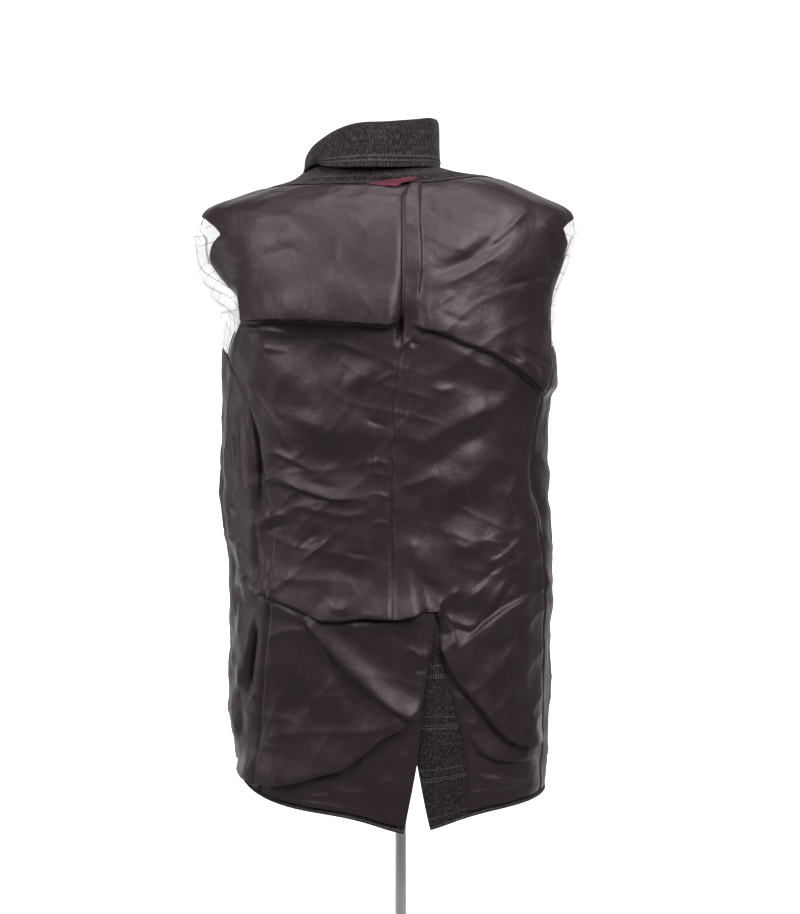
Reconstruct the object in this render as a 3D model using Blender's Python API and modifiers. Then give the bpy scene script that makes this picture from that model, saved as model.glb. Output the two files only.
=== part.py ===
"""A lined wool coat, turned inside out, on a limbless dress form with a pole and a round base.

Metres, +Z up, +X to the right of someone who looks at the coat's back, -Y towards them.
The origin is on the floor, under the middle of the whole. The coat is a set of rings,
one over the other from hem to neck; a panel is a stretch of those rings, and each layer
of cloth is the same stretch moved in or out along the rings' own normals.
"""
import math

import bmesh
import bpy
import numpy as np

MM = 0.001
COLLECTION = "wool_coat_on_dress_form"

# ---------------------------------------------------------------- cloth and seams
WOOL = 2.2 * MM
LINING = 1.0 * MM
SEAM_GAP = 0.3 * MM          # between two pieces that are sewn edge to edge
LAYER_GAP = 0.5 * MM         # between two pieces that lie on each other
LINING_IN = -LINING          # the rings are the lining's outer face
WOOL_OUT = LINING_IN - LAYER_GAP
WOOL_IN = WOOL_OUT - WOOL
FACING_OUT = LINING_IN + WOOL

# ---------------------------------------------------------------- the coat's rings
# level runs up the cloth from hem to neckline; back, side and front are heights;
# left and right are half widths; rear and fore are depths from the ring's middle line.
RING_COLUMNS = ("level", "back", "side", "front", "left", "right", "rear", "fore",
                "middle_y", "middle_x", "squareness")
RINGS = (
    (0.00, 0.580, 0.588, 0.585, 0.2120, 0.2180, 0.153, 0.146, 0.000, 0.000, 2.35),
    (0.08, 0.650, 0.652, 0.652, 0.2210, 0.2230, 0.151, 0.144, 0.000, 0.000, 2.35),
    (0.20, 0.775, 0.775, 0.775, 0.2190, 0.2275, 0.147, 0.138, 0.000, 0.000, 2.35),
    (0.34, 0.920, 0.920, 0.920, 0.2200, 0.2280, 0.141, 0.129, 0.000, 0.000, 2.30),
    (0.42, 0.997, 0.997, 0.997, 0.2335, 0.2200, 0.139, 0.123, 0.000, 0.000, 2.25),
    (0.52, 1.095, 1.095, 1.095, 0.2300, 0.2230, 0.143, 0.119, 0.000, 0.000, 2.25),
    (0.60, 1.175, 1.175, 1.175, 0.2280, 0.2285, 0.147, 0.115, 0.000, 0.000, 2.30),
    (0.69, 1.262, 1.262, 1.262, 0.2320, 0.2310, 0.145, 0.105, -0.002, 0.000, 2.30),
    (0.74, 1.312, 1.312, 1.306, 0.2470, 0.2470, 0.133, 0.094, -0.007, 0.000, 2.25),
    (0.79, 1.366, 1.372, 1.336, 0.2530, 0.2530, 0.107, 0.074, -0.015, 0.000, 2.20),
    (0.83, 1.386, 1.394, 1.350, 0.2050, 0.2100, 0.097, 0.063, -0.014, -0.003, 2.15),
    (0.87, 1.400, 1.408, 1.362, 0.1560, 0.1640, 0.090, 0.058, -0.012, -0.008, 2.10),
    (0.91, 1.412, 1.420, 1.374, 0.1160, 0.1200, 0.084, 0.055, -0.010, -0.014, 2.05),
    (0.94, 1.424, 1.433, 1.386, 0.0930, 0.0940, 0.079, 0.052, -0.010, -0.020, 2.00),
)
HEM, UNDERARM, TIP, NECK = 0.0, 0.60, 0.79, 0.94
VENT_TOP = 0.262
LINING_LIFT = 0.006          # the lining stops this much above the wool's hem edge
BODY_ROWS = (HEM, 0.05, 0.10, 0.15, 0.205, VENT_TOP, 0.33, 0.40, 0.47, 0.535,
             UNDERARM, 0.64, 0.67, 0.70, 0.735, 0.765, TIP)
ARMHOLE_ROWS = tuple(level for level in BODY_ROWS if level >= UNDERARM)

CENTRE_BACK_X = 0.007
# angles round the rings, in degrees: 0 centre back, 90 right side, 180 centre front
SIDE_SEAM = {"left": ((0.0, 50), (0.50, 48), (0.56, 55), (UNDERARM, 66)),
             "right": ((0.0, 57), (0.50, 58), (0.56, 64), (UNDERARM, 71))}
ARMHOLE_BACK = {"left": ((0.60, 66), (0.64, 53), (0.67, 55), (0.70, 62), (0.735, 68),
                         (0.765, 73), (TIP, 90)),
                "right": ((0.60, 71), (0.64, 63), (0.67, 62), (0.70, 65), (0.735, 69),
                          (0.765, 74), (TIP, 90))}
ARMHOLE_FRONT = ((0.60, 84), (0.64, 106), (0.67, 114), (0.70, 117), (0.735, 114),
                 (0.765, 104), (TIP, 90))
FRONT_EDGE = ((0.0, 176.0), (0.35, 177.5), (NECK, 178.0))
FACING_LINE = ((0.0, 151.0), (0.70, 149.0), (NECK, 138.0))
# the lining's top edge: the wool facing shows above it, wider over the left shoulder
LINING_TOP = ((-138, 0.880), (-90, 0.850), (-60, 0.880), (0, 0.900), (60, 0.898),
              (90, 0.885), (138, 0.880))

# the back vent: the left flap lies on the right one and both swing apart at the hem;
# each edge is given as (level, x)
FLAP_EDGE = ((HEM, 0.022), (0.084, 0.039), (0.168, 0.048), (0.228, 0.0595), (VENT_TOP, 0.063))
UNDERLAP_EDGE = ((HEM, 0.0556), (0.084, 0.039), (0.168, 0.0225), (VENT_TOP, CENTRE_BACK_X))
VENT_FACING_LINE = ((HEM, 0.103), (0.060, 0.103), (0.100, 0.098), (0.168, 0.081),
                    (0.228, 0.067), (VENT_TOP, 0.064), (TIP, 0.064), (NECK, 0.052))
FLAP_LIFT = 4.0 * MM
UNDERLAP_SINK = 3.6 * MM
VENT_FADE = 0.095            # distance either side over which the two lie apart
VENT_FADE_LEVEL = 0.33
CORNER_DROP = 0.021          # the vent's corners hang lower than the hem
CORNER_DROP_AT, CORNER_DROP_SPREAD = 0.034, 0.060
LEFT_SIDE_LIFT, LEFT_LIFT_ANGLE, LEFT_LIFT_SPREAD = 0.022, -90.0, 32.0
HEM_REACH = 0.12             # level at which the hem's own line fades out
BACK_EDGE_ANGLE, FOLD_FADE = 88.0, 20.0       # the folds fade out over this much of the side

# the largest folds of the lining, as ridges drawn from point to point over the back
FOLDS = (
    # height, half width, then (x, z) points
    (5.0 * MM, 0.020, ((-0.187, 1.226), (-0.090, 1.216), (0.016, 1.212))),
    (4.0 * MM, 0.022, ((0.043, 1.214), (0.094, 1.188), (0.146, 1.162), (0.206, 1.116))),
    (3.5 * MM, 0.022, ((-0.200, 0.622), (-0.090, 0.624), (-0.015, 0.655), (0.025, 0.704))),
    (3.5 * MM, 0.022, ((0.085, 0.765), (0.108, 0.710), (0.150, 0.668), (0.205, 0.640))),
    (4.0 * MM, 0.020, ((-0.079, 0.822), (-0.053, 0.780), (-0.009, 0.742), (0.040, 0.710))),
    (-4.0 * MM, 0.018, ((-0.178, 1.080), (-0.172, 0.900), (-0.172, 0.760))),
)
# the ease pleat down the centre of the back lining: its two edges, as foot and top of each
PLEAT_LINES = ((0.0190, 0.0), (0.0205, 1.0), (0.0440, 1.0), (0.0465, 0.0))   # (x, share)
PLEAT_FOOT_LEVEL, PLEAT_HEIGHT = 0.655, 3.0 * MM
PLEAT_BLEND = 0.1            # its edges lean back to the facing's line over this much level

# ---------------------------------------------------------------- the collar's rings
# walk runs up the stand, over the fold, and down to the fall's free edge
COLLAR_RINGS = (
    (1.0, 1.4560, 1.4580, 1.4250, 0.0850, 0.0870, 0.0700, 0.0500, -0.011, -0.021, 2.0),
    (2.0, 1.4800, 1.4760, 1.4470, 0.0835, 0.0860, 0.0680, 0.0520, -0.011, -0.022, 2.0),
    (3.0, 1.4870, 1.4830, 1.4530, 0.0870, 0.0890, 0.0720, 0.0560, -0.011, -0.022, 2.0),
    (4.0, 1.4810, 1.4760, 1.4470, 0.0905, 0.0920, 0.0765, 0.0600, -0.011, -0.022, 2.0),
    (5.0, 1.4550, 1.4540, 1.4220, 0.0925, 0.0935, 0.0840, 0.0650, -0.012, -0.022, 2.0),
    (6.0, 1.4300, 1.4410, 1.4010, 0.0940, 0.0945, 0.0920, 0.0700, -0.012, -0.022, 2.0),
)
COLLAR_THICK = 3.0 * MM
COLLAR_OPEN = 14.0           # degrees either side of the centre front
COLLAR_COLUMNS = 25
COLLAR_LEFT_DROP = 0.010     # the collar's top leans down towards its left end,
COLLAR_LEAN = ((0, 0.0), (1, 0.5), (2, 1.0), (4, 1.0), (6, 0.0))   # share of it along walk
COLLAR_SEAT = 2.6 * MM       # from the neckline's edge up to the middle of the stand's foot

# ---------------------------------------------------------------- sleeves, inside the coat
SLEEVE_TOP_LEVEL = 0.535
SLEEVE_LEVELS = (0.47, 0.40, 0.33, VENT_TOP, 0.205)     # the last is the cuff
SLEEVE_MIDDLE_ANGLE, SLEEVE_HALF_ANGLE, SLEEVE_SQUARENESS = 76.0, 34.0, 3.0
SLEEVE_NEAR, SLEEVE_FAR = 6.5 * MM, 44.0 * MM     # how far in from the coat's face it lies
MOUTH_GAP, MOUTH_DEPTH = 0.7 * MM, 9.0 * MM
THROAT_INSET = 2.0 * MM      # how much narrower the throat is than the mouth
BEND_STEPS, THROAT_RUN = 3, 0.4
THROAT_WAY = (0.95, 0.0, -0.3)                    # in and a little down, mirrored for the left
SLEEVE_LINING_SHORT, SLEEVE_LINING_GAP = 0.015, 0.6 * MM

# ---------------------------------------------------------------- label
# across: (x, share of the pleat's height that it lies on)
LABEL_COLUMNS = ((-0.021, 0.0), (-0.003, 0.0), (0.0165, 0.0), (0.0185, 1.0), (0.034, 1.0))
LABEL_TOP_LEVEL, LABEL_SEAM_LEVEL, LABEL_LOW_LEVEL = 0.906, 0.894, 0.868
LABEL_THICK, LABEL_STAND_OFF = 0.6 * MM, 1.1 * MM

# ---------------------------------------------------------------- dress form
FORM_X, FORM_Y = 0.018, 0.0          # pole and base
TORSO_SIDES = 32
# height, half width, depth behind, depth in front, middle y, middle x, squareness
TORSO_RINGS = (
    (0.770, 0.142, 0.098, 0.094, 0.000, 0.006, 2.10),
    (0.780, 0.152, 0.106, 0.100, 0.000, 0.006, 2.10),
    (0.840, 0.160, 0.114, 0.106, 0.000, 0.006, 2.10),
    (0.920, 0.156, 0.110, 0.100, 0.000, 0.004, 2.10),
    (1.010, 0.150, 0.104, 0.096, 0.000, 0.003, 2.10),
    (1.100, 0.158, 0.112, 0.102, 0.000, 0.002, 2.10),
    (1.200, 0.169, 0.124, 0.096, 0.000, 0.001, 2.10),
    (1.280, 0.174, 0.122, 0.082, -0.003, 0.000, 2.10),
    (1.330, 0.180, 0.104, 0.056, -0.010, 0.000, 2.10),
    (1.366, 0.182, 0.082, 0.040, -0.014, 0.000, 2.10),
    (1.386, 0.174, 0.066, 0.030, -0.014, -0.001, 2.10),
    (1.398, 0.148, 0.056, 0.028, -0.013, -0.004, 2.05),
    (1.408, 0.110, 0.052, 0.030, -0.012, -0.008, 2.00),
    (1.418, 0.078, 0.052, 0.036, -0.011, -0.012, 2.00),
    (1.434, 0.060, 0.052, 0.040, -0.010, -0.014, 2.00),
    (1.468, 0.058, 0.050, 0.040, -0.010, -0.014, 2.00),
)
SHOULDER_LIFT = 6.6 * MM     # raises the whole torso into the coat's shoulders
CAP_HEIGHT, CAP_EDGE, CAP_EDGE_STEPS = 0.013, 0.003, 2
POLE_RADIUS, POLE_STEPS, POLE_SEAT = 0.008, 24, 0.010    # the seat is how deep the hub's bore is
BASE_RADIUS, BASE_THICK, BASE_EDGE, BASE_FOOT_EDGE = 0.170, 0.010, 0.003, 0.001
HUB_RADIUS, HUB_HEIGHT, HUB_EDGE = 0.022, 0.045, 0.002
HUB_FLARE = ((0.0, 0.010), (0.004, 0.003), (0.012, 0.0))   # (out from the hub, up off the plate)
ROUND_STEPS = 48
SHARP_ANGLE = 50.0

# ---------------------------------------------------------------- colours
MATERIALS = {
    # colour, roughness, metallic
    "charcoal_wool": ((0.018, 0.018, 0.019), 0.95, 0.0),
    "dark_satin": ((0.022, 0.016, 0.018), 0.42, 0.0),
    "sleeve_satin": ((0.82, 0.82, 0.84), 0.5, 0.0),
    "label_satin": ((0.085, 0.010, 0.026), 0.6, 0.0),
    "form_jersey": ((0.72, 0.70, 0.66), 0.9, 0.0),
    "neck_cap": ((0.75, 0.73, 0.70), 0.4, 0.0),
    "pole_metal": ((0.80, 0.79, 0.78), 0.25, 1.0),
    "base_enamel": ((0.83, 0.83, 0.82), 0.35, 0.0),
}


def new_collection(name):
    """A collection in the scene."""
    collection = bpy.data.collections.new(name)
    bpy.context.scene.collection.children.link(collection)
    return collection


def new_material(name):
    """A plain finish from the table."""
    colour, roughness, metallic = MATERIALS[name]
    material = bpy.data.materials.new(name)
    material.use_nodes = True
    shader = material.node_tree.nodes["Principled BSDF"]
    shader.inputs["Base Color"].default_value = (*colour, 1.0)
    shader.inputs["Roughness"].default_value = roughness
    shader.inputs["Metallic"].default_value = metallic
    return material


def add_object(name, bm, finish, parts):
    """Turn a bmesh into a named object with its finish."""
    bmesh.ops.recalc_face_normals(bm, faces=bm.faces)
    mesh = bpy.data.meshes.new(name)
    bm.to_mesh(mesh)
    bm.free()
    mesh.shade_smooth()
    mesh.set_sharp_from_angle(angle=math.radians(SHARP_ANGLE))
    mesh.materials.append(finish)
    obj = bpy.data.objects.new(name, mesh)
    parts.objects.link(obj)
    return obj


# ---------------------------------------------------------------- rings and folds
def read(table, at):
    """A value between the rows of a two column table."""
    return float(np.interp(at, [row[0] for row in table], [row[1] for row in table]))


def smooth_rows(table, at):
    """The columns of a table at a given first column, on a smooth curve through its rows."""
    rows = np.array(table, dtype=float)
    knots, values = rows[:, 0], rows[:, 1:]
    slopes = np.gradient(values, knots, axis=0)
    high = int(np.clip(np.searchsorted(knots, at), 1, len(knots) - 1))
    low = high - 1
    span = knots[high] - knots[low]
    t = (at - knots[low]) / span
    return ((2 * t**3 - 3 * t**2 + 1) * values[low] + (t**3 - 2 * t**2 + t) * span * slopes[low]
            + (3 * t**2 - 2 * t**3) * values[high] + (t**3 - t**2) * span * slopes[high])


def ring_point(table, angle, walk):
    """A point of a ring table: a squared oval whose back, sides and front differ in height."""
    (back, side, front, left, right, rear, fore,
     middle_y, middle_x, squareness) = smooth_rows(table, walk)
    sine, cosine = math.sin(math.radians(angle)), math.cos(math.radians(angle))
    reach = (abs(sine)**squareness + abs(cosine)**squareness)**(-1.0 / squareness)
    half_width = right if sine > 0 else left
    depth, height = (rear, back) if cosine > 0 else (fore, front)
    return np.array((middle_x + half_width * sine * reach,
                     middle_y - depth * cosine * reach,
                     side + (height - side) * cosine**2))


def bump(distance, half_width):
    """A soft hump that is 1 in its middle and fades out at about twice its half width."""
    return math.exp(-(distance / half_width)**2)


def distance_to_path(x, z, path):
    """Distance in the back view from (x, z) to a line drawn through points."""
    nearest = math.inf
    for (x0, z0), (x1, z1) in zip(path, path[1:]):
        length = (x1 - x0)**2 + (z1 - z0)**2
        t = min(max(((x - x0) * (x1 - x0) + (z - z0) * (z1 - z0)) / length, 0.0), 1.0)
        nearest = min(nearest, math.hypot(x - x0 - t * (x1 - x0), z - z0 - t * (z1 - z0)))
    return nearest


def fold_height(point, angle):
    """How far the folds carry the cloth out at a point of the back."""
    if abs(angle) > BACK_EDGE_ANGLE:
        return 0.0
    x, z = point[0], point[2]
    height = sum(rise * bump(distance_to_path(x, z, path), spread)
                 for rise, spread, path in FOLDS)
    return height * min(1.0, (BACK_EDGE_ANGLE - abs(angle)) / FOLD_FADE)


def bare_point(angle, level):
    """The coat's outer face without its folds, with the hem's own line."""
    point = ring_point(RINGS, angle, level)
    near_hem = max(0.0, 1.0 - level / HEM_REACH)
    on_back = 1.0 if abs(angle) < 90 else 0.0
    drop = on_back * CORNER_DROP * bump(point[0] - CORNER_DROP_AT, CORNER_DROP_SPREAD)
    lift = LEFT_SIDE_LIFT * bump(angle - LEFT_LIFT_ANGLE, LEFT_LIFT_SPREAD)
    point[2] += near_hem * (lift - drop)
    return point


def face_normal(angle, level):
    """The way out of the coat's face."""
    turn, climb = 0.5, 0.004
    low, high = max(level - climb, HEM), min(level + climb, NECK)
    along = bare_point(angle + turn, level) - bare_point(angle - turn, level)
    up = bare_point(angle, high) - bare_point(angle, low)
    normal = np.cross(along, up)
    return normal / np.linalg.norm(normal)


def face_point(angle, level):
    """The coat's outer face with its folds, and the way out there."""
    point, normal = bare_point(angle, level), face_normal(angle, level)
    return point + normal * fold_height(point, angle), normal


def angle_at(x, level):
    """The angle at which the back of a ring passes a given x."""
    columns = smooth_rows(RINGS, level)
    middle_x, squareness = columns[8], columns[9]
    half_width = columns[4] if x > middle_x else columns[3]
    share = (x - middle_x) / half_width
    tangent = share / (1 - abs(share)**squareness)**(1 / squareness)
    return math.degrees(math.atan(tangent))


def vent_offset(x, angle, level, side):
    """The left flap lies over the right one: one is lifted, the other sunk."""
    if abs(angle) > 90:
        return 0.0
    edge = read(FLAP_EDGE, min(level, VENT_TOP))
    beyond = max(0.0, CENTRE_BACK_X - x if side == "left" else x - edge)
    sideways = max(0.0, 1.0 - beyond / VENT_FADE)
    upwards = min(1.0, max(0.0, (VENT_FADE_LEVEL - level) / (VENT_FADE_LEVEL - VENT_TOP)))
    return sideways * upwards * (FLAP_LIFT if side == "left" else -UNDERLAP_SINK)


# ---------------------------------------------------------------- walls of cloth
def cell_triangles(r, c, columns):
    """The two triangles of one cell of a grid, as (row, column) corners."""
    right = (c + 1) % columns
    return (((r, c), (r, right), (r + 1, right)), ((r, c), (r + 1, right), (r + 1, c)))


def cloth_wall(name, points, normals, inner, outer, finish, parts, keep=None, wrap=False):
    """A closed wall of cloth: two sheets, moved along the normals, and a rim between them."""
    rows, columns = points.shape[:2]
    bm = bmesh.new()
    sheets = [[[bm.verts.new(points[r][c] + normals[r][c] * offset) for c in range(columns)]
               for r in range(rows)] for offset in (inner, outer)]
    edges = {}
    for r in range(rows - 1):
        for c in range(columns if wrap else columns - 1):
            if keep is not None and not keep(r, c):
                continue
            for triangle in cell_triangles(r, c, columns):
                bm.faces.new([sheets[1][i][j] for i, j in triangle])
                bm.faces.new([sheets[0][i][j] for i, j in reversed(triangle)])
                for start, end in zip(triangle, triangle[1:] + triangle[:1]):
                    if (end, start) in edges:
                        del edges[(end, start)]
                    else:
                        edges[(start, end)] = True
    for (r0, c0), (r1, c1) in edges:
        a, b = sheets[1][r0][c0], sheets[1][r1][c1]
        d, e = sheets[0][r1][c1], sheets[0][r0][c0]
        bm.faces.new((b, a, e))
        bm.faces.new((b, e, d))
    loose = [vertex for vertex in bm.verts if not vertex.link_faces]
    bmesh.ops.delete(bm, geom=loose, context="VERTS")
    return add_object(name, bm, finish, parts)


def angle_for(distance, angle, level):
    """The turn, in degrees, that moves a point of a ring by a distance along the cloth."""
    step = 0.25
    travel = np.linalg.norm(bare_point(angle + step, level) - bare_point(angle - step, level))
    return distance * 2 * step / travel


def body_grid(lines, levels, side, gap_left=True, gap_right=True):
    """Points and normals where the upright lines cross the levels, with half a seam's gap."""
    points = np.zeros((len(levels), len(lines), 3))
    normals = np.zeros_like(points)
    for r, level_rule in enumerate(levels):
        for c, line in enumerate(lines):
            level = level_rule if isinstance(level_rule, float) else None
            angle = line(level if level is not None else level_rule(0.0))
            if level is None:
                level = level_rule(angle)
            if c == 0 and gap_left:
                angle += angle_for(SEAM_GAP / 2, angle, level)
            if c == len(lines) - 1 and gap_right:
                angle -= angle_for(SEAM_GAP / 2, angle, level)
            point, normal = face_point(angle, level)
            points[r][c] = point + normal * vent_offset(point[0], angle, level, side)
            normals[r][c] = normal
    return points, normals


def between(first, last, count, skip_first=False):
    """Upright lines evenly spaced between two edge rules, both included."""
    def line(share):
        return lambda level: first(level) + (last(level) - first(level)) * share
    start = 1 if skip_first else 0
    return [line(i / count) for i in range(start, count + 1)]


def lining_top(angle):
    """The level of the lining's top edge."""
    return read(LINING_TOP, angle)


def half_way_up(angle):
    """A level between the shoulder tips and the lining's top edge."""
    return (TIP + lining_top(angle)) / 2


LEVELS = [float(level) for level in BODY_ROWS] + [half_way_up, lining_top, NECK]
TOP_ROW = len(LEVELS) - 1
LINING_ROW = TOP_ROW - 1
VENT_ROW = BODY_ROWS.index(VENT_TOP)
BACK_LEFT_COLUMNS, BACK_RIGHT_COLUMNS, VENT_COLUMNS = 6, 5, 2
FACING_LINE_COLUMN = 1 + len(PLEAT_LINES)
FRONT_COLUMNS, FACING_COLUMNS = 7, 2


def seam_rule(side, front):
    """The angle of a panel's edge beside the side seam, the armhole and the shoulder."""
    sign = -1 if side == "left" else 1

    def rule(level):
        if level <= UNDERARM:
            return sign * read(SIDE_SEAM[side], level)
        if level >= TIP:
            return sign * 90.0
        return sign * read(ARMHOLE_FRONT if front else ARMHOLE_BACK[side], level)
    return rule


def underarm_front(side):
    """The front panel's edge: the side seam up to the underarm, then the armhole's front."""
    sign = -1 if side == "left" else 1
    rule = seam_rule(side, front=True)
    return lambda level: sign * read(SIDE_SEAM[side], level) if level <= UNDERARM else rule(level)


def centre_back(level):
    """The centre-back line."""
    return angle_at(CENTRE_BACK_X, level)


def flap_edge(level):
    """The left vent flap's free edge."""
    return angle_at(read(FLAP_EDGE, level), level)


def underlap_edge(level):
    """The right vent flap's free edge, and the centre back above the vent."""
    return angle_at(read(UNDERLAP_EDGE, level), level)


def vent_facing_line(level):
    """Where the right back lining meets the vent's wool facing, and a like line above it."""
    return angle_at(read(VENT_FACING_LINE, level), level)


def pleat_line(x):
    """An edge of the ease pleat; below its foot it keeps its share of the way to the facing."""
    def line(level):
        first, last = read(UNDERLAP_EDGE, level), read(VENT_FACING_LINE, level)
        share = (x - CENTRE_BACK_X) / (read(VENT_FACING_LINE, TIP) - CENTRE_BACK_X)
        spread = first + (last - first) * share
        blend = min(1.0, max(0.0, (level - VENT_TOP) / PLEAT_BLEND))
        return angle_at(spread + (x - spread) * blend, level)
    return line


def back_lines(side):
    """The upright lines of a back panel, and which of its cells are wool and which lining."""
    back_seam = seam_rule(side, front=False)
    if side == "left":
        lines = between(back_seam, centre_back, BACK_LEFT_COLUMNS)
        lines += between(centre_back, flap_edge, VENT_COLUMNS, skip_first=True)

        def wool_keep(row, column):
            return column < BACK_LEFT_COLUMNS or row < VENT_ROW

        def lining_keep(row, column):
            return row < LINING_ROW and wool_keep(row, column)
    else:
        lines = [underlap_edge] + [pleat_line(x) for x, _ in PLEAT_LINES]
        lines += between(vent_facing_line, back_seam, BACK_RIGHT_COLUMNS)

        def wool_keep(row, column):
            return True

        def lining_keep(row, column):
            return row < LINING_ROW and (column >= FACING_LINE_COLUMN or row >= VENT_ROW)
    return lines, (wool_keep, lining_keep)


def make_back(side, finishes, parts):
    """The wool back and the lining back of one side, with the vent's flap or facing."""
    lines, (wool_keep, lining_keep) = back_lines(side)
    points, normals = body_grid(lines, LEVELS, side)
    cloth_wall(f"wool_back_{side}", points, normals, WOOL_IN, WOOL_OUT,
               finishes["charcoal_wool"], parts, wool_keep)
    lining_levels = [HEM + LINING_LIFT] + LEVELS[1:]
    points, normals = body_grid(lines, lining_levels, side)
    lining_points = shape_lining(points, normals, side)
    cloth_wall(f"lining_back_{side}", lining_points, normals, LINING_IN, 0.0,
               finishes["dark_satin"], parts, lining_keep)
    if side == "right":
        def facing_keep(row, column):
            return row < VENT_ROW and column < FACING_LINE_COLUMN
        facing_points = points.copy()
        facing_points[:, FACING_LINE_COLUMN] -= (seam_step(points, FACING_LINE_COLUMN)
                                                 * SEAM_GAP)
        facing_points[VENT_ROW, :, 2] -= SEAM_GAP
        cloth_wall("vent_facing", facing_points, normals, LINING_IN, FACING_OUT,
                   finishes["charcoal_wool"], parts, facing_keep)


def seam_step(points, column):
    """The direction across a seam, from the column before it."""
    step = points[:, column] - points[:, column - 1]
    return step / np.linalg.norm(step, axis=1, keepdims=True)


def shape_lining(points, normals, side):
    """The lining's own points: the ease pleat stands out beside the centre back."""
    shaped = points.copy()
    if side == "right":
        first = next(r for r, level in enumerate(BODY_ROWS) if level > PLEAT_FOOT_LEVEL)
        for column, (_, share) in enumerate(PLEAT_LINES, start=1):
            shaped[first:, column] += normals[first:, column] * share * PLEAT_HEIGHT
    return shaped


def front_lines(side):
    """The upright lines of a front panel, from the side seam to the front edge."""
    sign = -1 if side == "left" else 1

    def facing_line(level):
        return sign * read(FACING_LINE, level)

    def front_edge(level):
        return sign * read(FRONT_EDGE, level)

    return (between(underarm_front(side), facing_line, FRONT_COLUMNS)
            + between(facing_line, front_edge, FACING_COLUMNS, skip_first=True))


def make_front(side, finishes, parts):
    """The wool front, its lining and its wool facing on one side."""
    lines = front_lines(side)
    main_columns = FRONT_COLUMNS
    if side == "left":
        lines = lines[::-1]
    last = len(lines) - 1

    def is_facing(column):
        place = last - 1 - column if side == "left" else column
        return place >= main_columns

    points, normals = body_grid(lines, LEVELS, side)
    cloth_wall(f"wool_front_{side}", points, normals, WOOL_IN, WOOL_OUT,
               finishes["charcoal_wool"], parts)
    lining_points, lining_normals = body_grid(lines, [HEM + LINING_LIFT] + LEVELS[1:], side)
    cloth_wall(f"lining_front_{side}", lining_points, lining_normals, LINING_IN, 0.0,
               finishes["dark_satin"], parts,
               lambda row, column: row < LINING_ROW and not is_facing(column))
    facing_points = points.copy()
    seam_column = last - main_columns if side == "left" else main_columns
    inwards = 1 if side == "left" else -1
    step = points[:, seam_column] - points[:, seam_column + inwards]
    facing_points[:, seam_column] += (step / np.linalg.norm(step, axis=1, keepdims=True)
                                      * SEAM_GAP)
    cloth_wall(f"front_facing_{side}", facing_points, normals, LINING_IN, FACING_OUT,
               finishes["charcoal_wool"], parts, lambda row, column: is_facing(column))


def make_neck_facing(finishes, parts):
    """The wool band between the lining's top edge and the collar, round the back of the neck."""
    front_left = front_lines("left")[:FRONT_COLUMNS + 1]
    back_left = back_lines("left")[0][:BACK_LEFT_COLUMNS + 1]
    back_right = back_lines("right")[0]
    front_right = front_lines("right")[:FRONT_COLUMNS + 1]
    lines = front_left[::-1] + back_left[1:] + back_right[1:] + front_right[1:]
    points, normals = body_grid(lines, [lining_top, NECK], "left", False, False)
    up = points[1] - points[0]
    points[0] += up / np.linalg.norm(up, axis=1, keepdims=True) * SEAM_GAP
    for end, inner in ((0, 1), (-1, -2)):
        inwards = points[:, inner] - points[:, end]
        points[:, end] += inwards / np.linalg.norm(inwards, axis=1, keepdims=True) * 2 * SEAM_GAP
    cloth_wall("neck_facing", points, normals, LINING_IN, FACING_OUT,
               finishes["charcoal_wool"], parts)


def sheet_normals(points, wrap=False):
    """Normals of a grid of points: the mean of the triangles that meet at each."""
    rows, columns = points.shape[:2]
    normals = np.zeros_like(points)
    for r in range(rows - 1):
        for c in range(columns if wrap else columns - 1):
            for triangle in cell_triangles(r, c, columns):
                first, second, third = (points[corner] for corner in triangle)
                normal = np.cross(second - first, third - first)
                normal /= np.linalg.norm(normal)
                for corner in triangle:
                    normals[corner] += normal
    return normals / np.linalg.norm(normals, axis=2, keepdims=True)


def make_collar(finishes, parts):
    """Stand and fall, one folded piece round the neck and open at the front."""
    angles = np.linspace(-180 + COLLAR_OPEN, 180 - COLLAR_OPEN, COLLAR_COLUMNS)
    walks = [row[0] for row in COLLAR_RINGS]
    points = np.array([[ring_point(COLLAR_RINGS, angle, walk) for angle in angles]
                       for walk in walks])
    climb = 0.004
    foot = []
    for angle in angles:
        edge, below = bare_point(angle, NECK), bare_point(angle, NECK - climb)
        up = (edge - below) / np.linalg.norm(edge - below)
        middle_of_wool = face_normal(angle, NECK) * (WOOL_IN + WOOL_OUT) / 2
        foot.append(edge + middle_of_wool + up * COLLAR_SEAT)
    for r, walk in enumerate(walks):
        for c, angle in enumerate(angles):
            leaning = max(0.0, -math.sin(math.radians(angle))) * read(COLLAR_LEAN, walk)
            points[r][c][2] -= COLLAR_LEFT_DROP * leaning
    points = np.concatenate(([foot], points))
    cloth_wall("collar", points, sheet_normals(points), -COLLAR_THICK / 2, COLLAR_THICK / 2,
               finishes["charcoal_wool"], parts)


def make_label(finishes, parts):
    """A plain woven label, sewn into the lining's top seam at the centre back."""
    levels = (LABEL_LOW_LEVEL, LABEL_SEAM_LEVEL, LABEL_TOP_LEVEL)
    points = np.zeros((len(levels), len(LABEL_COLUMNS), 3))
    normals = np.zeros_like(points)
    for r, level in enumerate(levels):
        for c, (x, share) in enumerate(LABEL_COLUMNS):
            point, normal = face_point(angle_at(x, level), level)
            raised = max(share * PLEAT_HEIGHT, FACING_OUT if level > LABEL_SEAM_LEVEL else 0.0)
            points[r][c] = point + normal * (raised + LABEL_STAND_OFF)
            normals[r][c] = normal
    cloth_wall("neck_label", points, normals, 0.0, LABEL_THICK,
               finishes["label_satin"], parts)


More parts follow.
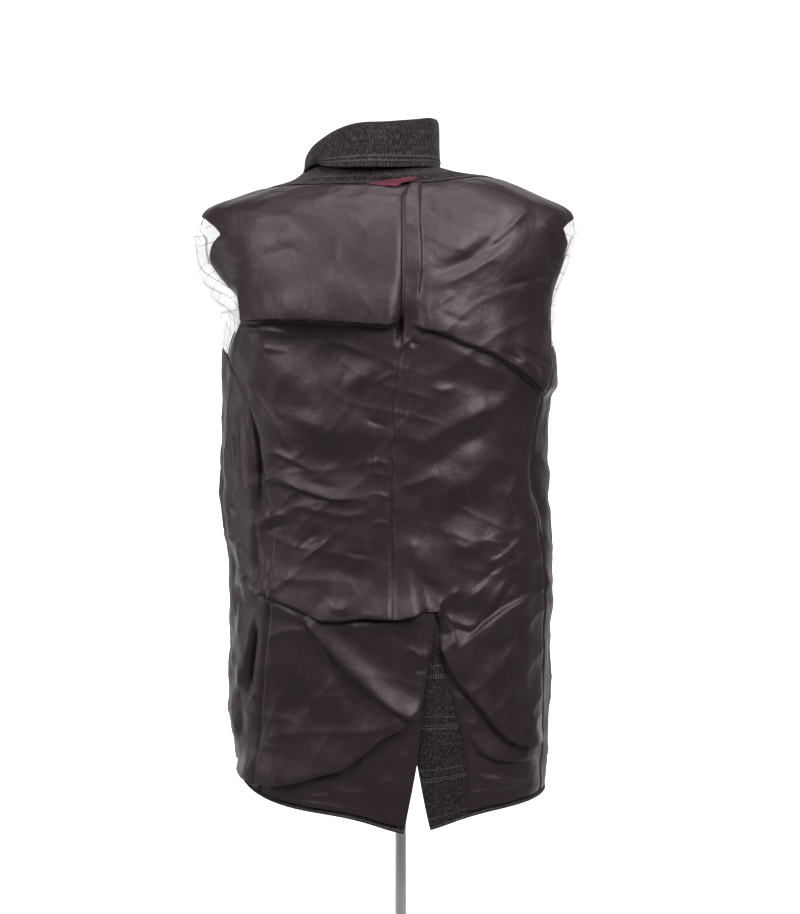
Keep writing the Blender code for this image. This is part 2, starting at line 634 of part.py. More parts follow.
def armhole_ring(side):
    """The armhole's edge points, from the shoulder tip down the back and up the front."""
    sign = -1 if side == "left" else 1
    down = [(level, sign * read(ARMHOLE_BACK[side], level)) for level in reversed(ARMHOLE_ROWS)]
    up = [(level, sign * read(ARMHOLE_FRONT, level)) for level in ARMHOLE_ROWS[1:-1]]
    lowest = (UNDERARM, sign * read(SIDE_SEAM[side], UNDERARM))
    ring = down[:-1] + [lowest] + up
    return [face_point(angle, level) for level, angle in ring]


def squared(share):
    """A sine or cosine, changed so that a flat oval gets blunt ends."""
    return math.copysign(abs(share)**(2 / SLEEVE_SQUARENESS), share)


def sleeve_points(side):
    """The sleeve's outer face: in at the armhole, then down between coat and form."""
    sign = -1 if side == "left" else 1
    ring = armhole_ring(side)
    count = len(ring)
    centre = sum(point for point, _ in ring) / count
    rows = [[] for _ in range(2 + BEND_STEPS + len(SLEEVE_LEVELS))]
    for k, (point, normal) in enumerate(ring):
        turn = 2 * math.pi * k / count
        angle = sign * (SLEEVE_MIDDLE_ANGLE - SLEEVE_HALF_ANGLE * squared(math.sin(turn)))
        inset = ((SLEEVE_NEAR + SLEEVE_FAR) / 2
                 + (SLEEVE_FAR - SLEEVE_NEAR) / 2 * squared(math.cos(turn)))

        def hanging(level):
            return bare_point(angle, level) - face_normal(angle, level) * inset
        inwards = np.cross(normal, ring[(k + 1) % count][0] - ring[k - 1][0])
        inwards *= np.sign(inwards.dot(centre - point)) / np.linalg.norm(inwards)
        mouth = point + inwards * MOUTH_GAP
        throat = mouth + inwards * THROAT_INSET - normal * MOUTH_DEPTH
        end = hanging(SLEEVE_TOP_LEVEL)
        reach = np.linalg.norm(end - throat) / 3
        way = np.array((-sign, 1, 1)) * THROAT_WAY
        first = throat + way * reach * THROAT_RUN
        second = end + np.array((0, 0, reach))
        rows[0].append(mouth)
        rows[1].append(throat)
        for step in range(1, BEND_STEPS + 1):
            t = step / BEND_STEPS
            rows[1 + step].append((1 - t)**3 * throat + 3 * (1 - t)**2 * t * first
                                  + 3 * (1 - t) * t**2 * second + t**3 * end)
        for row, level in enumerate(SLEEVE_LEVELS):
            rows[2 + BEND_STEPS + row].append(hanging(level))
    return np.array(rows)


def tube_normals(points):
    """Normals of a tube's rings, pointing out of it."""
    normals = sheet_normals(points, wrap=True)
    middle = points.mean(axis=1, keepdims=True)
    return normals * np.sign(np.sum(normals * (points - middle), axis=2).mean())


def make_sleeve(side, finishes, parts):
    """A wool sleeve and its lining, both open at the armhole and the cuff."""
    points = sleeve_points(side)
    normals = tube_normals(points)
    cloth_wall(f"sleeve_{side}", points, normals, -WOOL, 0.0,
               finishes["charcoal_wool"], parts, wrap=True)
    last_run = points[-2] - points[-1]
    points[-1] += last_run * SLEEVE_LINING_SHORT / last_run[:, 2:]
    face = -WOOL - SLEEVE_LINING_GAP
    cloth_wall(f"sleeve_lining_{side}", points, normals, face - LINING, face,
               finishes["sleeve_satin"], parts, wrap=True)


# ---------------------------------------------------------------- dress form
def make_torso(finishes, parts):
    """One smooth closed torso with shoulders and a neck."""
    bm = bmesh.new()
    loops = []
    for height, half_width, rear, fore, middle_y, middle_x, squareness in TORSO_RINGS:
        loop = []
        for i in range(TORSO_SIDES):
            turn = 2 * math.pi * i / TORSO_SIDES
            sine, cosine = math.sin(turn), math.cos(turn)
            reach = (abs(sine)**squareness + abs(cosine)**squareness)**(-1.0 / squareness)
            depth = rear if cosine > 0 else fore
            loop.append(bm.verts.new((middle_x + half_width * sine * reach,
                                      middle_y - depth * cosine * reach,
                                      height + SHOULDER_LIFT)))
        loops.append(loop)
    for low, high in zip(loops, loops[1:]):
        for i in range(TORSO_SIDES):
            j = (i + 1) % TORSO_SIDES
            bm.faces.new((low[i], low[j], high[j], high[i]))
    bm.faces.new(list(reversed(loops[0])))
    bm.faces.new(loops[-1])
    return add_object("form_torso", bm, finishes["form_jersey"], parts)


def make_cap(finishes, parts):
    """A shallow turned cap on the form's neck."""
    height, half_width, rear, fore, middle_y, middle_x, _ = TORSO_RINGS[-1]
    bm = bmesh.new()
    bmesh.ops.create_cone(bm, cap_ends=True, segments=ROUND_STEPS, radius1=1.0, radius2=1.0,
                          depth=CAP_HEIGHT)
    bmesh.ops.scale(bm, vec=(half_width, (rear + fore) / 2, 1.0), verts=bm.verts)
    seat = height + SHOULDER_LIFT + SEAM_GAP
    bmesh.ops.translate(bm, vec=(middle_x, middle_y - (rear - fore) / 2, seat + CAP_HEIGHT / 2),
                        verts=bm.verts)
    top_edges = [edge for edge in bm.edges
                 if all(vertex.co.z > seat + CAP_HEIGHT / 2 for vertex in edge.verts)]
    bmesh.ops.bevel(bm, geom=top_edges, offset=CAP_EDGE, segments=CAP_EDGE_STEPS,
                    affect="EDGES")
    return add_object("form_neck_cap", bm, finishes["neck_cap"], parts)


def make_pole(finishes, parts):
    """The straight pole between the base's hub and the torso."""
    foot = HUB_HEIGHT - POLE_SEAT
    top = TORSO_RINGS[0][0] + SHOULDER_LIFT - SEAM_GAP
    bm = bmesh.new()
    bmesh.ops.create_cone(bm, cap_ends=True, segments=POLE_STEPS, radius1=POLE_RADIUS,
                          radius2=POLE_RADIUS, depth=top - foot)
    bmesh.ops.translate(bm, vec=(FORM_X, FORM_Y, (top + foot) / 2), verts=bm.verts)
    return add_object("form_pole", bm, finishes["pole_metal"], parts)


def make_base(finishes, parts):
    """A turned round plate with a hub that holds the pole in a blind bore."""
    bore = POLE_RADIUS + SEAM_GAP
    bore_floor = HUB_HEIGHT - POLE_SEAT - SEAM_GAP
    profile = ((0.0, bore_floor), (bore, bore_floor), (bore, HUB_HEIGHT),
               (HUB_RADIUS - HUB_EDGE, HUB_HEIGHT), (HUB_RADIUS, HUB_HEIGHT - HUB_EDGE),
               *((HUB_RADIUS + out, BASE_THICK + up) for out, up in HUB_FLARE),
               (BASE_RADIUS - BASE_EDGE, BASE_THICK), (BASE_RADIUS, BASE_THICK - BASE_EDGE),
               (BASE_RADIUS, BASE_FOOT_EDGE), (BASE_RADIUS - BASE_FOOT_EDGE, 0.0), (0.0, 0.0))
    mesh = bpy.data.meshes.new("form_base")
    mesh.from_pydata([(x, 0.0, z) for x, z in profile],
                     [(i, i + 1) for i in range(len(profile) - 1)], [])
    mesh.materials.append(finishes["base_enamel"])
    obj = bpy.data.objects.new("form_base", mesh)
    obj.location = (FORM_X, FORM_Y, 0.0)
    parts.objects.link(obj)
    screw = obj.modifiers.new("turned", "SCREW")
    screw.steps = screw.render_steps = ROUND_STEPS
    screw.use_merge_vertices = True
    screw.merge_threshold = 0.00001
    screw.use_normal_calculate = True
    return obj


def main():
    """Clear the scene and build every piece."""
    for old in list(bpy.data.objects):
        bpy.data.objects.remove(old, do_unlink=True)
    parts = new_collection(COLLECTION)
    finishes = {name: new_material(name) for name in MATERIALS}
    for side in ("left", "right"):
        make_back(side, finishes, parts)
        make_front(side, finishes, parts)
        make_sleeve(side, finishes, parts)
    make_neck_facing(finishes, parts)
    make_collar(finishes, parts)
    make_label(finishes, parts)
    make_torso(finishes, parts)
    make_cap(finishes, parts)
    make_pole(finishes, parts)
    make_base(finishes, parts)


main()
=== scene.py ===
"""A lined wool coat, turned inside out, on a limbless dress form.

Metres, +Z up. The coat's back faces -Y; left and right are those of someone who looks at it.
The coat is a set of rings from hem to neckline. A piece of cloth is a stretch of those rings,
drawn finely, with its folds and creases laid over it as soft ridges and troughs.
"""

import math

import bpy
import numpy as np
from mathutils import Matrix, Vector


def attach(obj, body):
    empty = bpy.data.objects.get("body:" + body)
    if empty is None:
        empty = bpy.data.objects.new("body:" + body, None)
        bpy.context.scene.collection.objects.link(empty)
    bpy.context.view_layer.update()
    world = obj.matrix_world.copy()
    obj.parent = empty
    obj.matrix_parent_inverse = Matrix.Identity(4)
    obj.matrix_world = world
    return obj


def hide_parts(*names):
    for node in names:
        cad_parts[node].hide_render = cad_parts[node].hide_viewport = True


MM = 0.001
SIGN = {"left": -1, "right": 1}


def rows_of(text):
    """Rows of numbers, from lines of them."""
    return [[float(part) for part in line.replace(",", " ").split()]
            for line in text.strip().split("\n")]


# ---- cloth
WOOL, LINING, COLLAR_THICK, LABEL_THICK = 2.2 * MM, 1.0 * MM, 3.0 * MM, 0.6 * MM
SEAM_GAP, LAYER_GAP = 0.3 * MM, 0.5 * MM
LINING_IN = -LINING
WOOL_OUT = LINING_IN - LAYER_GAP
WOOL_IN = WOOL_OUT - WOOL
FACING_OUT = LINING_IN + WOOL

# ---- the coat's rings
# level, up the cloth from hem to neckline; the heights of back, side and front; the half
# widths to the left and right; the depths behind and before the middle; middle y and x;
# squareness
RINGS = rows_of("""
0 0.58 0.588 0.585 0.203 0.215 0.153 0.146 0 0 2.35
0.08 0.65 0.652 0.652 0.211 0.219 0.151 0.144 0 0 2.35
0.2 0.775 0.775 0.775 0.217 0.2215 0.147 0.138 0 0 2.35
0.34 0.92 0.92 0.92 0.218 0.225 0.141 0.129 0 0 2.3
0.42 0.997 0.997 0.997 0.227 0.217 0.139 0.123 0 0 2.25
0.52 1.095 1.095 1.095 0.226 0.2215 0.143 0.119 0 0 2.25
0.6 1.175 1.175 1.175 0.228 0.2285 0.147 0.115 0 0 2.3
0.69 1.262 1.262 1.262 0.232 0.231 0.145 0.105 -0.002 0 2.3
0.74 1.312 1.312 1.306 0.247 0.247 0.133 0.094 -0.007 0 2.25
0.79 1.366 1.372 1.336 0.253 0.253 0.107 0.074 -0.015 0 2.2
0.83 1.386 1.394 1.35 0.205 0.21 0.097 0.063 -0.014 -0.003 2.15
0.87 1.4 1.408 1.362 0.156 0.164 0.09 0.058 -0.012 -0.008 2.1
0.91 1.412 1.42 1.374 0.116 0.12 0.084 0.055 -0.01 -0.014 2.05
0.94 1.424 1.433 1.386 0.093 0.094 0.079 0.052 -0.01 -0.02 2
""")
HEM, UNDERARM, TIP, NECK, VENT_TOP = 0.0, 0.60, 0.79, 0.94, 0.262
LINING_LIFT, HEM_ROLL = 0.0080, 4.6 * MM
HEM_REACH, CORNER_DROP, CORNER_DROP_AT, CORNER_DROP_SPREAD = 0.12, 0.021, 0.034, 0.060
SIDE_LIFT, SIDE_LIFT_ANGLE, SIDE_LIFT_SPREAD = 0.030, -90.0, 38.0
RIGHT_BUMP, RIGHT_BUMP_X, RIGHT_BUMP_SPREAD, BUMP_LEVEL, BUMP_FADE = 0.011, 0.135, 0.060, 0.78, 0.05

# angles round the rings: 0 centre back, 90 right side, 180 centre front, by level
CENTRE_BACK_X = 0.007
SIDE_SEAM = {"left": ((0.0, 50), (0.50, 48), (0.56, 55), (UNDERARM, 66)),
             "right": ((0.0, 66), (0.20, 65), (0.30, 63.5), (0.38, 61), (0.45, 58.5), (0.50, 59.5),
                       (0.56, 65), (UNDERARM, 72))}
ARMHOLE_BACK = {"left": ((0.60, 66), (0.618, 62.3), (0.638, 57), (0.654, 53.8), (0.664, 53.7),
                         (0.68, 55.9), (0.70, 64), (0.720, 71.5), (0.735, 77), (0.765, 80),
                         (TIP, 90)),
                "right": ((0.60, 72), (0.615, 72.5), (0.64, 73), (0.67, 73.5), (0.70, 74),
                          (0.735, 75), (0.765, 77), (TIP, 90))}
ARMHOLE_FRONT = ((0.610, 76), (0.620, 84), (0.631, 92), (0.650, 107), (0.67, 114), (0.70, 117),
                 (0.735, 114), (0.765, 104), (TIP, 90))
# the notch each back panel has under its shoulder tip: (level, angle) of its edge
NOTCH = {"left": ((0.738, 76.5), (0.745, 72), (0.752, 67), (0.7605, 58), (0.770, 62), (0.780, 70),
                  (0.785, 80), (TIP, 90)),
         "right": ((0.748, 75.5), (0.754, 74), (0.760, 69), (0.7685, 64.5), (0.776, 70),
                   (0.783, 80), (TIP, 90))}
NOTCH_TUCK = 2.0             # degrees the sleeve lining reaches in behind the notch
FRONT_EDGE = ((0.0, 176.0), (0.35, 177.5), (NECK, 178.0))
FACING_LINE = ((0.0, 151.0), (0.70, 149.0), (NECK, 138.0))
# the lining's top edge by angle: the wool facing shows above it
LINING_TOP = ((-138, 0.880), (-90, 0.850), (-60, 0.864), (-30, 0.868), (0, 0.870), (30, 0.868),
              (60, 0.872), (90, 0.872), (138, 0.880))
# the back vent, as (level, x)
FLAP_EDGE = ((HEM, 0.022), (0.084, 0.039), (0.168, 0.048), (0.228, 0.0595), (VENT_TOP, 0.063))
UNDERLAP_EDGE = ((HEM, 0.0556), (0.084, 0.039), (0.168, 0.0225), (VENT_TOP, CENTRE_BACK_X))
VENT_FACING_LINE = ((HEM, 0.103), (0.060, 0.103), (0.100, 0.098), (0.168, 0.081),
                    (0.228, 0.067), (VENT_TOP, 0.064), (TIP, 0.064), (NECK, 0.052))
FLAP_LIFT, UNDERLAP_SINK, VENT_FADE, VENT_FADE_LEVEL = 4.0 * MM, 3.6 * MM, 0.095, 0.285
LIP_LIFT, LIP_LEVEL, LIP_SIDE, LIP_START, LIP_FOOT = 2.0 * MM, 0.030, 0.012, 0.002, 0.004

# the ease pleat down the centre of the back lining: x of its edges, and where it ends
PLEAT_LEFT, PLEAT_RIGHT, PLEAT_EDGE, PLEAT_HEIGHT = 0.0195, 0.0450, 0.0018, 3.2 * MM
PLEAT_FOOT, PLEAT_FADE, PLEAT_NARROWS, NARROWS_FROM, NARROWS_OVER = 1.200, 0.045, 0.006, 1.31, 0.10
PLEAT_SWAY, PLEAT_SWAY_LENGTH = 0.0015, 0.028

# ---- folds and creases
# Each line is a height, the widths on the left and the right of its path, and the path's x,z
# points, in millimetres, as the back is looked at. The cloth overhangs on a narrow side.
BACK_CREASES = rows_of("""
12 46 6.5  -202,1228 -179,1226 -139,1227 -98,1226 -61,1223 -16,1219 24,1216
7 36 3.4  30,1210 48,1210 76,1204 101,1191 122,1184 151,1169 174,1152 190,1138 200,1123 208,1114
1.1 5 7  60,1186 92,1175 118,1160 150,1144 172,1126
-2.6 4 4  144,1184 162,1172 176,1166
2.4 4 5  160,1182 182,1160 200,1140
8.6 36 3  -178,880 -165,875 -139,865 -108,851 -81,838 -61,837 -33,841 8,841 38,846 57,850
3.2 5 7  -172,862 -139,848 -108,833 -86,822
2.8 5 7  -70,820 -33,823 8,825 34,829
7.8 36 3  -194,652 -168,633 -126,631 -88,640 -57,648 -33,665 -9,686 18,699 33,708
7.6 34 3  68,812 74,798 86,770 105,744 125,721 140,702 159,684 178,680 202,683
5 16 3  93,697 113,677 130,663 158,657 202,658
4.6 4.5 26  84,788 110,806 136,828 164,848 204,872
-2.6 9 7  96,806 122,826 150,848 186,872
6.9 14 5  -104,838 -83,814 -61,789 -33,762 1,733 30,714 50,706
2.2 3.2 3  -92,808 -78,790 -66,768 -56,752
-4.4 11 8  47,1271 90,1285 120,1302 144,1317 158,1334 164,1358
2.4 6 8  50,1254 92,1270 124,1288 152,1306
2.2 5 6  110,1293 134,1312 154,1331 171,1348 192,1372
-2.2 4 5  146,1257 178,1265 217,1260
-2.6 5 4  170,1182 189,1171 207,1161
2 5 4  158,1197 182,1177 204,1155
-1.6 5 5  200,1295 224,1278
1.6 6 5  189,1343 221,1317
-1.6 10 10  -65,1324 -65,1293 -72,1261
-7.4 24 30  -168,1192 -130,1190 -90,1183 -47,1168 -16,1158
2.4 12 9  -61,1122 -30,1143 2,1160
1.8 7 5  -198,1162 -175,1129 -149,1093 -126,1056 -102,1028
2 12 9  -149,1105 -108,1087 -61,1066 -30,1061
2.2 7 3.6  -168,1051 -139,1045 -105,1030 -81,1017
3.4 8 3.6  -168,1011 -136,1014 -105,1004 -74,992 -44,988 -16,985
1.6 20 18  -187,1337 -139,1348 -95,1349
-1.5 14 14  -184,1317 -139,1320 -102,1329
2.6 22 26  -170,1262 -120,1264 -70,1262 -20,1258
1.3 16 16  -47,1320 -16,1337 8,1341
-2 16 16  49,1361 76,1365 107,1348
-3.6 26 22  -120,1048 -84,1036 -44,1030 -8,1034
3 24 20  26,968 64,990 110,1018 160,1040
-3 22 22  20,925 60,946 104,972 150,992
1.8 7 4  -91,1187 -61,1184 -13,1167
3.4 14 10  18,1050 57,1066 100,1088 145,1110 182,1132
-2 12 10  30,1012 70,1036 115,1066 158,1090
3.4 22 24  -130,1092 -80,1080 -30,1071 0,1067
-2 18 14  55,1136 93,1139 134,1122 158,1105
1.6 6 7  50,1131 76,1126 93,1133
1.5 6 5  66,1025 42,1006 21,993
-1.6 6 6  67,1232 86,1221 110,1215
1.4 5 5  55,1230 76,1245 93,1249
-1.3 2.3 2.3  19,1187 10,1109 6,1040 7,972
-1.1 2.2 2.2  7,1036 7,934 8,852
-1.8 2.6 2.6  37,1184 27,1122 20,1076 13,1049
1.5 3 2.6  15,1172 22,1184 32,1192
1.6 3.5 3  -20,1132 -1,1143 16,1148
-1.6 3 3  -30,1090 -11,1083 5,1079
1.3 3 3  -26,1030 -8,1034 4,1029
-0.9 2.2 2.2  -27,1066 -26,1030 -24,1003
-0.7 2.2 2.2  -16,1064 -16,1020
1.2 3 2.6  -22,1020 -6,1017 4,1010
1.4 3.4 2.8  -26,990 -8,992 3,984
1.1 3 3  -20,952 -6,957 4,950
4.2 2.8 12  -181,1111 -176,1081 -171,1040 -168,1006 -166,962
-7 3.6 3.6  -176,1108 -171,1081 -166,1040 -163,1006 -160,950
-3 4 4  -163,985 -165,951 -165,913 -163,883 -162,840
-5.8 2 2  -166,842 -169,806 -173,770 -177,722
2.4 3 3  -196,1207 -168,1204 -143,1200 -118,1193
1.6 3 3  -164,1181 -145,1178 -126,1175
-6.6 2.8 2.8  20,1236 19,1218 17,1198 15,1176
-2.4 4 4  27,1190 34,1186 44,1182
2 4 3  -130,600 -95,597 -60,591 -22,586
1.6 3 3  -118,611 -90,606 -62,608
2.2 4 3  95,640 120,631 150,627 187,632
1.6 3 3  92,604 118,612 150,619 182,626
2.6 5 5  -188,1105 -187,1075 -182,1030 -178,989
2.6 4 11  -168,990 -170,951 -170,913 -168,883 -167,845
3.2 3.2 11  -172,835 -176,797 -180,767 -183,730
2.4 3.5 3  -205,977 -192,972 -179,963
2.4 3.2 3  -190,874 -183,885 -175,896
-2.2 3 3  -190,870 -192,850 -192,831
2.2 3 3  -197,806 -195,786 -192,764
2 3 3  -183,782 -186,760 -185,738
2.2 3.2 3  -204,948 -198,937 -190,928
2.6 3.2 3  -193,1100 -196,1070 -192,1040 -195,1012
-2.4 3 3  -187,1088 -189,1058 -185,1026
2.2 3 3.4  -200,1062 -202,1030 -199,1000
-2.2 3 3  -195,1000 -198,968 -194,940
2.4 3 3  -185,950 -188,922 -184,896
-2.2 3 3  -196,925 -194,895 -198,868
2.4 3.2 3  -189,860 -186,832 -190,805
-2 3 3  -196,836 -199,806 -196,776
2.2 3 3  -190,790 -187,760 -189,730
-2 3 3  -186,730 -184,700 -187,672
2.2 3.4 3  -194,742 -193,712 -188,684
2.6 5 6  -160,1036 -161,992 -162,947 -160,893
2 4 4  -175,739 -168,736 -163,729
-4.2 3.6 3.6  188,1056 185,1023 189,993 192,972
2.8 5 5  192,1052 202,1017 207,979
-3.8 4 4  184,1036 189,1009 195,982 199,951 194,922
2.6 5 5  204,1016 210,985 207,954
2 6 6  199,906 207,859 209,818
2 6 6  -195,1160 -200,1109 -201,1040 -204,979
2.4 6 6  -201,1026 -204,978 -194,934 -188,883
-2.6 5 5  -181,893 -188,872 -185,845 -178,814
2.2 7 7  -195,797 -198,736 -190,668
-2 5 5  -188,797 -187,743 -182,695
3.2 8 4  -165,1006 -122,1009 -91,999 -61,989 -16,988
-2 4 4  -115,1017 -81,1005 -47,997
2.2 7 4  -126,979 -88,971 -47,964 -13,973
2.2 5 4  -164,954 -146,964 -115,962
-1.8 4 4  -162,942 -139,951 -122,954
2.8 3.6 3.6  -66,938 -90,921 -110,904
-1.8 6 6  -81,944 -102,934 -115,918
-1.1 2.4 2.4  -61,920 -33,915 -9,914
2.2 8 8  -156,872 -127,885 -105,900
-2.4 14 10  -91,906 -50,889 -13,876
2 6 6  -78,862 -61,852 -40,859
1.8 5 5  -33,852 -16,845 -3,850
2 9 7  -76,820 -44,829 -9,827 52,834
2.2 7 6  -162,800 -139,814 -115,818 -88,810
-2.6 20 20  -139,777 -122,736 -108,691
1.8 16 14  -74,777 -61,736 -57,695
-1.8 12 9  -91,797 -67,763 -47,729 -33,708
1.3 6 6  -98,626 -61,613 -13,609 25,599
1.2 5 5  16,631 -13,621 -37,616
1.6 4 4  -27,674 -6,685 8,687
1.8 5 4  18,790 32,793 41,785 37,772
-1.8 4 4  32,769 44,767 57,773
1.5 4 4  42,797 50,784 49,763
-3.2 4 4  63,841 67,818 72,790
3.2 5 4  73,833 84,813 94,792
-2.6 4 4  81,835 100,818 113,818
2.6 5 4  72,840 93,825 110,823 120,836
2.8 3.6 3.6  125,900 146,913 163,928 176,940
-2.2 6 5  103,866 127,886 151,907
2.4 6 6  124,831 137,859 160,893
-2.2 5 5  134,835 151,865 171,889
2.4 5 5  62,849 79,861 95,873
2.8 7 6  78,844 108,861 130,883
1.8 4 4  120,934 141,930 158,925
-1.8 5 5  158,995 160,975 168,954
2 6 6  168,1023 158,999 154,978
1.6 14 12  120,763 158,778 199,797
-1.8 12 12  124,790 154,804 185,818
1.8 6 6  166,695 182,703 199,715
1.6 6 6  103,616 130,623 158,630
-1.6 10 10  42,995 52,961 57,924
2 12 10  21,941 38,913 49,889
2 10 9  76,934 100,924 124,924
-1.8 10 10  32,893 55,876 76,872
1.6 5 5  14,999 28,1005 55,1016
""")
# The same for each side and front, with angle,z points, in degrees from the centre back.
SIDE_CREASES = {"left": rows_of("""
3 10 6  96,1172 104,1120 112,1040 118,930
-2.6 7 7  88,1168 94,1100 100,1010 103,900
2.4 9 6  80,1120 84,1020 85,900 82,790
-2.2 6 6  74,1090 77,980 78,860 74,760
2.6 8 10  118,1180 130,1120 140,1075
-2.4 6 6  113,1155 124,1095 133,1050
3 12 7  92,820 97,740 96,660 90,630
-2.6 8 8  104,860 108,760 107,650
2.6 12 9  120,900 124,780 121,660
-2 9 9  134,980 136,860 133,720
2 16 14  140,1300 130,1240 122,1215
-2 10 12  128,1290 124,1250 120,1225
3.8 18 3.2  64,640 86,628 110,622 134,628 149,640
2.2 10 5  72,705 90,690 112,698
-1.8 8 8  122,1060 136,1030 147,1020
1.8 7 7  106,990 118,1000 130,985
1.6 9 9  150,1180 158,1080 162,960
-1.4 10 10  164,900 160,780 164,660
"""), "right": rows_of("""
2.6 8 8  98,1168 103,1090 108,990 110,900
-2.8 7 7  90,1150 95,1060 97,960 94,850
2.2 8 6  82,1110 85,1000 84,880
-2.4 6 7  112,1160 122,1080 128,990
2.4 9 10  120,1190 133,1140 143,1110
2.6 10 8  80,800 86,720 86,650
-2.4 8 8  95,830 98,740 96,655
3 13 8  112,880 116,760 114,655
-2.2 9 9  128,930 131,800 128,680
1.8 16 14  142,1290 132,1250 124,1222
3.6 3.2 18  149,648 128,630 106,626 84,634 66,646
2.4 5 9  120,712 100,700 80,712
-1.8 7 7  104,1040 118,1020 132,1026
1.6 8 8  118,960 130,975 141,962
1.6 9 9  152,1150 159,1040 161,940
-1.4 10 10  166,860 161,760 165,650
""")}
SIDE_STEP = 0.0037           # metres of cloth to a degree, round the sides
SIDE_FADE = (58.0, 74.0)     # the side creases come in between these angles
BACK_FADE = (84.0, 96.0)     # and the back ones go out between these
LINING_RISE, WOOL_SINK = 2.0 * MM, 7.5 * MM      # how far apart lining and wool hang

# ---- collar
# the same columns; the first runs up the stand, over the fold and down to the fall's edge
COLLAR_RINGS = rows_of("""
1 1.456 1.458 1.425 0.085 0.087 0.07 0.05 -0.011 -0.021 2
2 1.48 1.476 1.447 0.0835 0.086 0.068 0.052 -0.011 -0.022 2
3 1.485 1.483 1.453 0.087 0.089 0.072 0.056 -0.011 -0.022 2
4 1.479 1.476 1.447 0.0905 0.092 0.0765 0.06 -0.011 -0.022 2
5 1.452 1.452 1.422 0.0925 0.0935 0.0825 0.065 -0.012 -0.022 2
6 1.4222 1.435 1.401 0.0945 0.095 0.0885 0.07 -0.012 -0.022 2
""")
COLLAR_OPEN, COLLAR_SEAT, COLLAR_LEFT_DROP, COLLAR_RIGHT_RISE = 14.0, 2.6 * MM, 0.024, 0.018
COLLAR_ROWS, COLLAR_COLUMNS, FALL_START = 56, 216, 5.0
# the fall's edge rolls up at one place on the left and droops beyond it
ROLL_ANGLE, ROLL_SPREAD, ROLL_RISE, ROLL_DROP = -52.0, 8.0, 0.0055, 0.0045
DROOP_END, DROOP_FADE = -120.0, 25.0
# the stitched groove beside the fall's edge, and its full rim: (walk, half width, height)
COLLAR_EDGE = ((5.52, 0.05, -1.3 * MM), (5.80, 0.16, 0.9 * MM))
COLLAR_WAVE, COLLAR_WAVE_ANGLE, COLLAR_WAVE_START, COLLAR_WAVE_OVER = 0.9 * MM, 9.0, 3.2, 2.0
COLLAR_LAID, COLLAR_SHIFT = 0.016, 0.0333
COLLAR_LEAN = ((0, 0.0), (1, 0.5), (2, 1.0), (4, 1.0), (6, 0.0))

# ---- sleeves
SLEEVE_TOP_LEVEL, CUFF_LEVEL = 0.535, 0.205
SLEEVE_MIDDLE_ANGLE, SLEEVE_HALF_ANGLE, SLEEVE_SQUARENESS = 76.0, 34.0, 3.0
SLEEVE_NEAR, SLEEVE_FAR = 13.0 * MM, 44.0 * MM
MOUTH_GAP, MOUTH_DEPTH, THROAT_IN, THROAT_RUN = 0.7 * MM, 13.0 * MM, 2.0 * MM, 0.4
# how the slack lining puffs out of each armhole: out along the coat's normal, in from its edge
PUFF_OUT = {"left": 0.017, "right": 0.006}
PUFF_IN = {"left": 0.044, "right": 0.026}
# and its folds round the mouth: (share of the puff, how many, start)
PUFF_FOLDS = ((0.12, 3, 0.6), (0.04, 8, 0.0))
SLEEVE_LINING, PUFF_DROP, PUFF_OPENS, PUFF_ROUND = 0.8 * MM, 6.0 * MM, 0.25, 0.8
PUFF_FOOT, PUFF_FADE = 0.025, 0.05
PUFF_START_IN, PUFF_START_BACK, PUFF_UNDER = 0.4 * MM, 1.0 * MM, 2.2 * MM
SLEEVE_WAVE, WAVE_AROUND, WAVE_DOWN, WAVE_FADE, SLEEVE_CLEAR = 0.72 * MM, 0.021, 0.05, 0.1, 1.0 * MM
SLEEVE_COLUMNS, BEND_ROWS, HANG_ROWS, PUFF_ROWS, JOIN_ROWS = 132, 14, 44, 16, 6
ARMHOLE_DOWN, ARMHOLE_UP, ARMHOLE_CROWDING = 60, 90, 1.6

# ---- how finely it is made
FINE, MIDDLE, COARSE = 2.3 * MM, 3.6 * MM, 6.0 * MM
CREASE_STEP, CREASE_REACH, CREASE_TAPER, SHARPNESS = 7.0 * MM, 3.0, 0.38, 1.35
# the SHADE numbers set the painted shade laid into the satin's colour: its width under tall ledges,
# the trough depth that brings it on, and its strength
LEDGE_TAPER, LEDGE_HEIGHT, SHADE_WIDTH, SHADE_DEPTH = 0.10, 6.4, 5.5 * MM, -5.5
SHADE_HEIGHT, SHADE_GROWS, SEAM_HOLD = 9.0, 2.4, 0.8 * MM
UNEVEN, STEEP, SLUMP, DEEPEST = 0.14, 1.8, 0.8, 6.0 * MM
BROAD_GAIN, FINE_GAIN, BROAD_SHADE, FINE_SHADE = 1.2, 1.25, 0.34, 0.9
RIPPLE, CALM_ABOVE, CALM_OVER = 0.45 * MM, 1.20, 0.06
# folds flatten towards the lining's top edge, its armholes and its seams, in metres of cloth
TOP_FADE, ARMHOLE_FADE, ARMHOLE_KEEPS = 0.014, 0.016, 0.25
PINCH, PINCH_REACH, FREE_FRONT, FREE_BACK, FREE_FOOT, FREE_FADE = 0.6, 0.004, 150, 30, 0.010, 0.012
WOOL_FADE, WOOL_EDGE, LINING_END, EDGE_CALM = 0.022, 0.006, 0.90, 0.02
